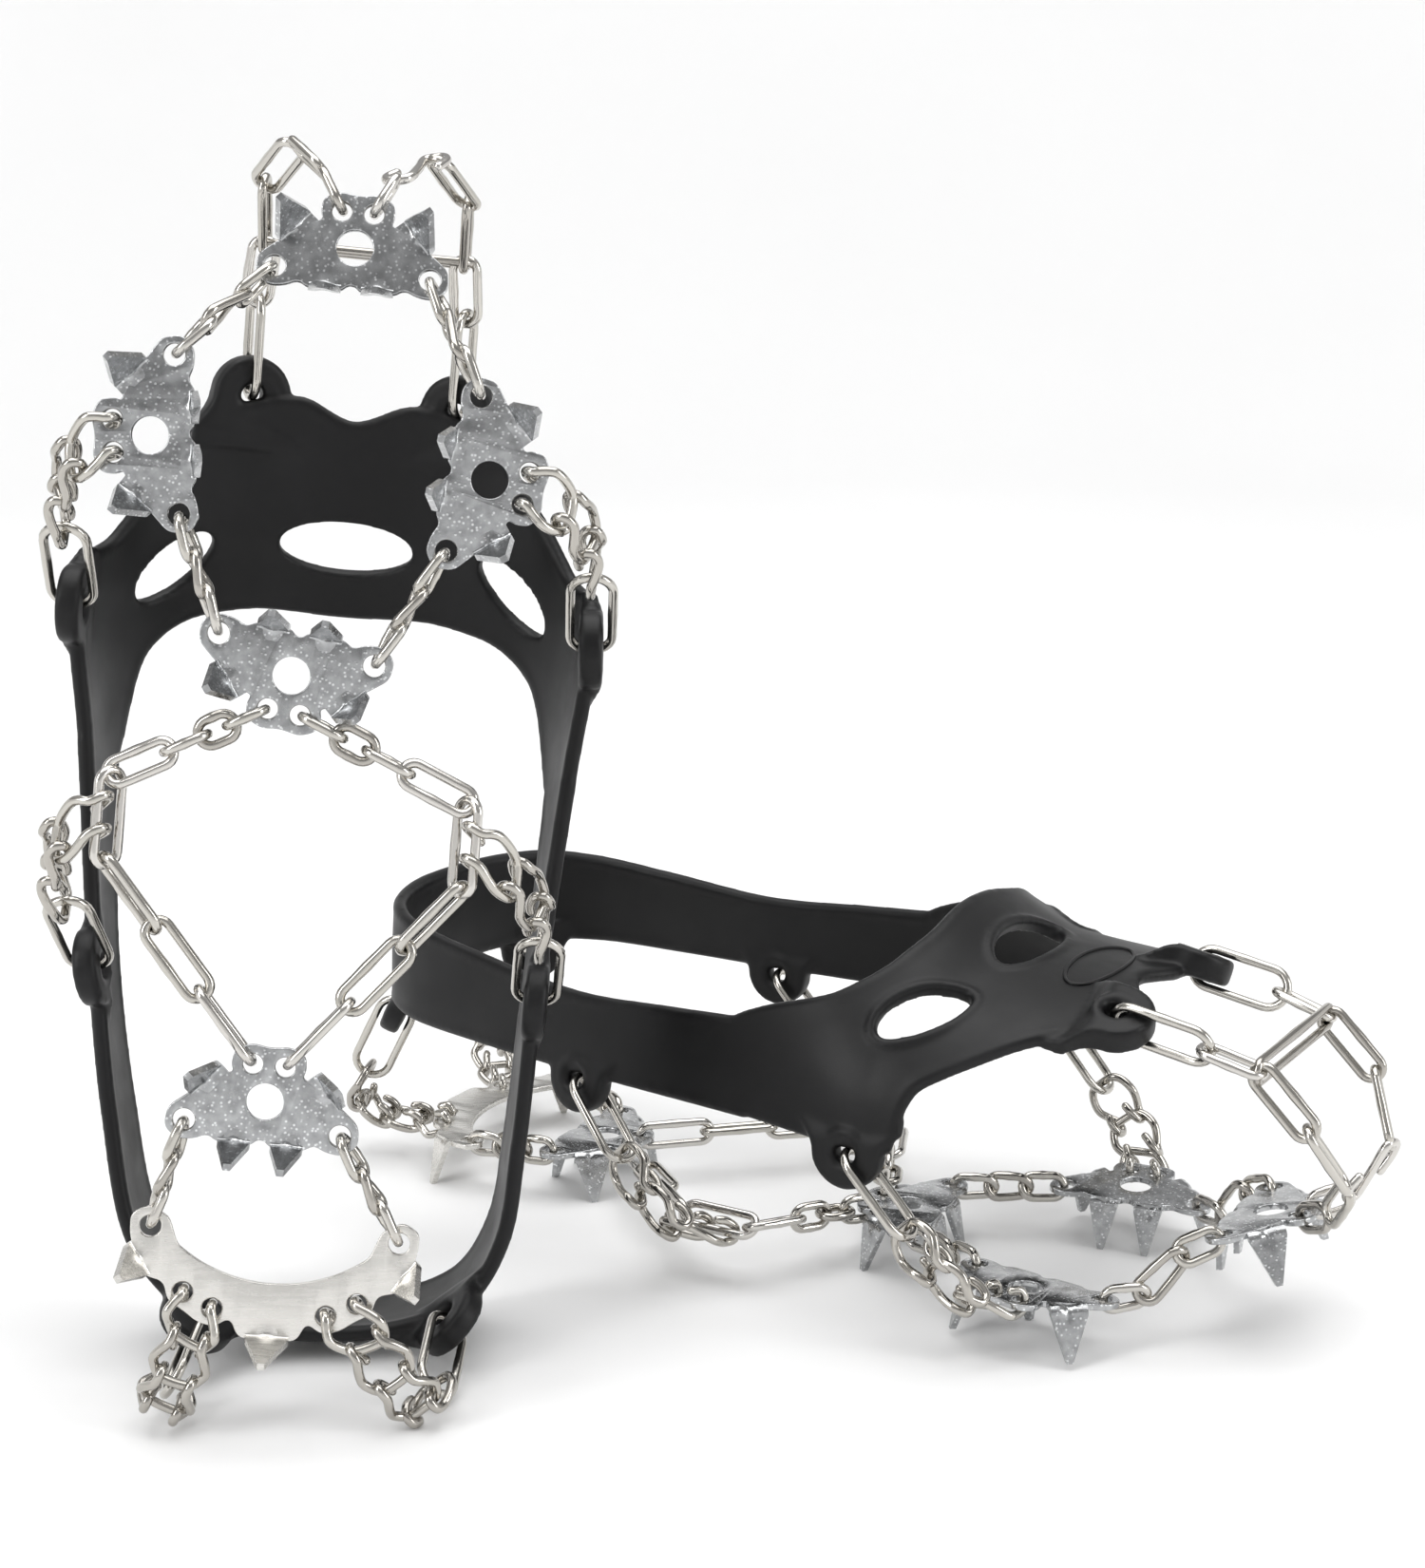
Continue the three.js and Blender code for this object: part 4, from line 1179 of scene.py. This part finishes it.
def flat_place():
    return Matrix.Translation(FLAT_AT) @ Matrix.Rotation(math.radians(FLAT_TURN), 4, "Z")


PLACES = {"flat": flat_place(), "upright": upright_place()}
MATERIALS = {
    "rubber": rubber(),
    "galvanised_steel": galvanised(),
    "satin_steel": satin(),
    "chain_steel": chain_steel(),
}


def place_piece(name, shape, slot, local=Matrix.Identity(4)):
    """Puts one finished shape on both cleats, in place of the CAD node of that name."""
    for prefix, place in PLACES.items():
        matrix = Matrix.Scale(MM, 4) @ place @ local
        copy = Shape().add([matrix @ p for p in shape.points], shape.faces)
        mesh = copy.mesh(f"{prefix}_{name}_finished")
        fix_normals(mesh)
        mesh.materials.append(MATERIALS[slot])
        mesh.polygons.foreach_set("use_smooth", [True] * len(mesh.polygons))
        piece = bpy.data.objects.new(f"{prefix}_{name}_finished", mesh)
        bpy.context.scene.collection.objects.link(piece)
        if slot in ("galvanised_steel", "satin_steel"):
            mesh.set_sharp_from_angle(angle=math.radians(40))
        node = f"{prefix}_{name}"
        body = node if node in frame["bodies"] else f"{prefix}_harness_and_net"
        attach(piece, body)
        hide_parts(node)


def build_cleats():
    place_piece("harness", harness(), "rubber")
    plate = spike_plate()
    for name in PLATES:
        place_piece(f"{name}_plate", plate, "galvanised_steel", plate_frame(name))
    place_piece("heel_plate", heel_plate(), "satin_steel", Matrix.Translation((0, HEEL_Y, SOLE_HEIGHT)))
    for label, side in (("left", 1), ("right", -1)):
        ball = f"ball_{label}"
        toe_end, ball_front, ball_rear = end_hole("toe", side), end_hole(ball, -side), end_hole(ball, side)
        arch_end, waist_end = end_hole("arch", -side), end_hole("waist", side)
        chains = {
            "toe_to_ball": strand(toe_end, ball_front, TOE_BENDS),
            "ball_to_arch": strand(ball_rear, arch_end),
            "waist_to_heel": strand(waist_end, heel_hole(HEEL_ENDS, side)),
            "side": side_net(side),
        }
        for name, shape in chains.items():
            place_piece(f"chain_{name}_{label}", shape, "chain_steel")
    place_piece("chain_toe", toe_net(), "chain_steel")
    for name in LADDERS:
        place_piece(f"ladder_{name}", ladder(name), "chain_steel")
    for name in LUGS:
        place_piece(f"ring_{name}", ring(name), "chain_steel")


# ---- stage, light and camera ----

CAMERA_AT = (-0.0069, -0.7112, 0.3027)
CAMERA_DROP = 13.86
CAMERA_LENS = 64.86


def add_camera():
    data = bpy.data.cameras.new("camera")
    data.sensor_fit = "VERTICAL"
    data.sensor_height = 36
    data.lens = CAMERA_LENS
    data.clip_end = 20
    camera = bpy.data.objects.new("camera", data)
    camera.location = CAMERA_AT
    camera.rotation_euler = (math.radians(90 - CAMERA_DROP), 0, 0)
    bpy.context.scene.collection.objects.link(camera)
    bpy.context.scene.camera = camera


FLOOR_RADIUS = 1.5
FLOOR_BEND = 0.9
FLOOR_STEPS = 96


def add_floor():
    """A pale round floor whose rim curves up into a low backdrop on every side."""
    profile = [(0.5, 0), (FLOOR_RADIUS, 0)]
    for k in range(1, 17):
        angle = math.pi / 2 * k / 16
        rim = FLOOR_RADIUS + FLOOR_BEND * math.sin(angle)
        profile.append((rim, FLOOR_BEND * (1 - math.cos(angle))))
    points = []
    for k in range(FLOOR_STEPS):
        turn = 2 * math.pi * k / FLOOR_STEPS
        points.extend((r * math.cos(turn), r * math.sin(turn), z) for r, z in profile)
    rows = len(profile)
    faces = [tuple(k * rows for k in range(FLOOR_STEPS))]
    for k in range(FLOOR_STEPS):
        a, b = k * rows, (k + 1) % FLOOR_STEPS * rows
        faces.extend((a + i, a + i + 1, b + i + 1, b + i) for i in range(rows - 1))
    mesh = bpy.data.meshes.new("floor")
    mesh.from_pydata(points, [], faces)
    mesh.materials.append(paper_floor())
    mesh.polygons.foreach_set("use_smooth", [True] * len(faces))
    floor = bpy.data.objects.new("floor", mesh)
    bpy.context.scene.collection.objects.link(floor)


def add_lamp(name, at, aim, size, watts):
    data = bpy.data.lights.new(name, "AREA")
    data.shape = "RECTANGLE"
    data.size, data.size_y = size
    data.energy = watts
    lamp = bpy.data.objects.new(name, data)
    lamp.location = at
    lamp.rotation_euler = (Vector(aim) - Vector(at)).to_track_quat("-Z", "Y").to_euler()
    bpy.context.scene.collection.objects.link(lamp)


def add_light():
    middle = (0, 0, 0.1)
    add_lamp("overhead", at=(0, 0.25, 2.2), aim=(0, 0.25, 0), size=(2.4, 2.4), watts=44)
    add_lamp("left", at=(-1.3, -0.9, 1.0), aim=middle, size=(0.5, 1.1), watts=10)
    add_lamp("right", at=(1.4, -0.6, 0.7), aim=middle, size=(0.4, 1.0), watts=7)
    world = bpy.data.worlds.new("studio")
    bpy.context.scene.world = world
    world.use_nodes = True
    nodes, links = world.node_tree.nodes, world.node_tree.links
    where = nodes.new("ShaderNodeTexCoord")
    split = nodes.new("ShaderNodeSeparateXYZ")
    links.new(where.outputs["Generated"], split.inputs["Vector"])
    height = span(nodes, links, split.outputs["Z"], 0, 1, -1, 1)
    sky = ramp(nodes, links, height, ((0.48, grey(0.10)), (0.60, grey(0.30)), (1.0, grey(0.60))))
    links.new(sky, nodes["Background"].inputs["Color"])
    bpy.context.scene.view_settings.view_transform = "Standard"


add_camera()
add_floor()
add_light()
build_cleats()
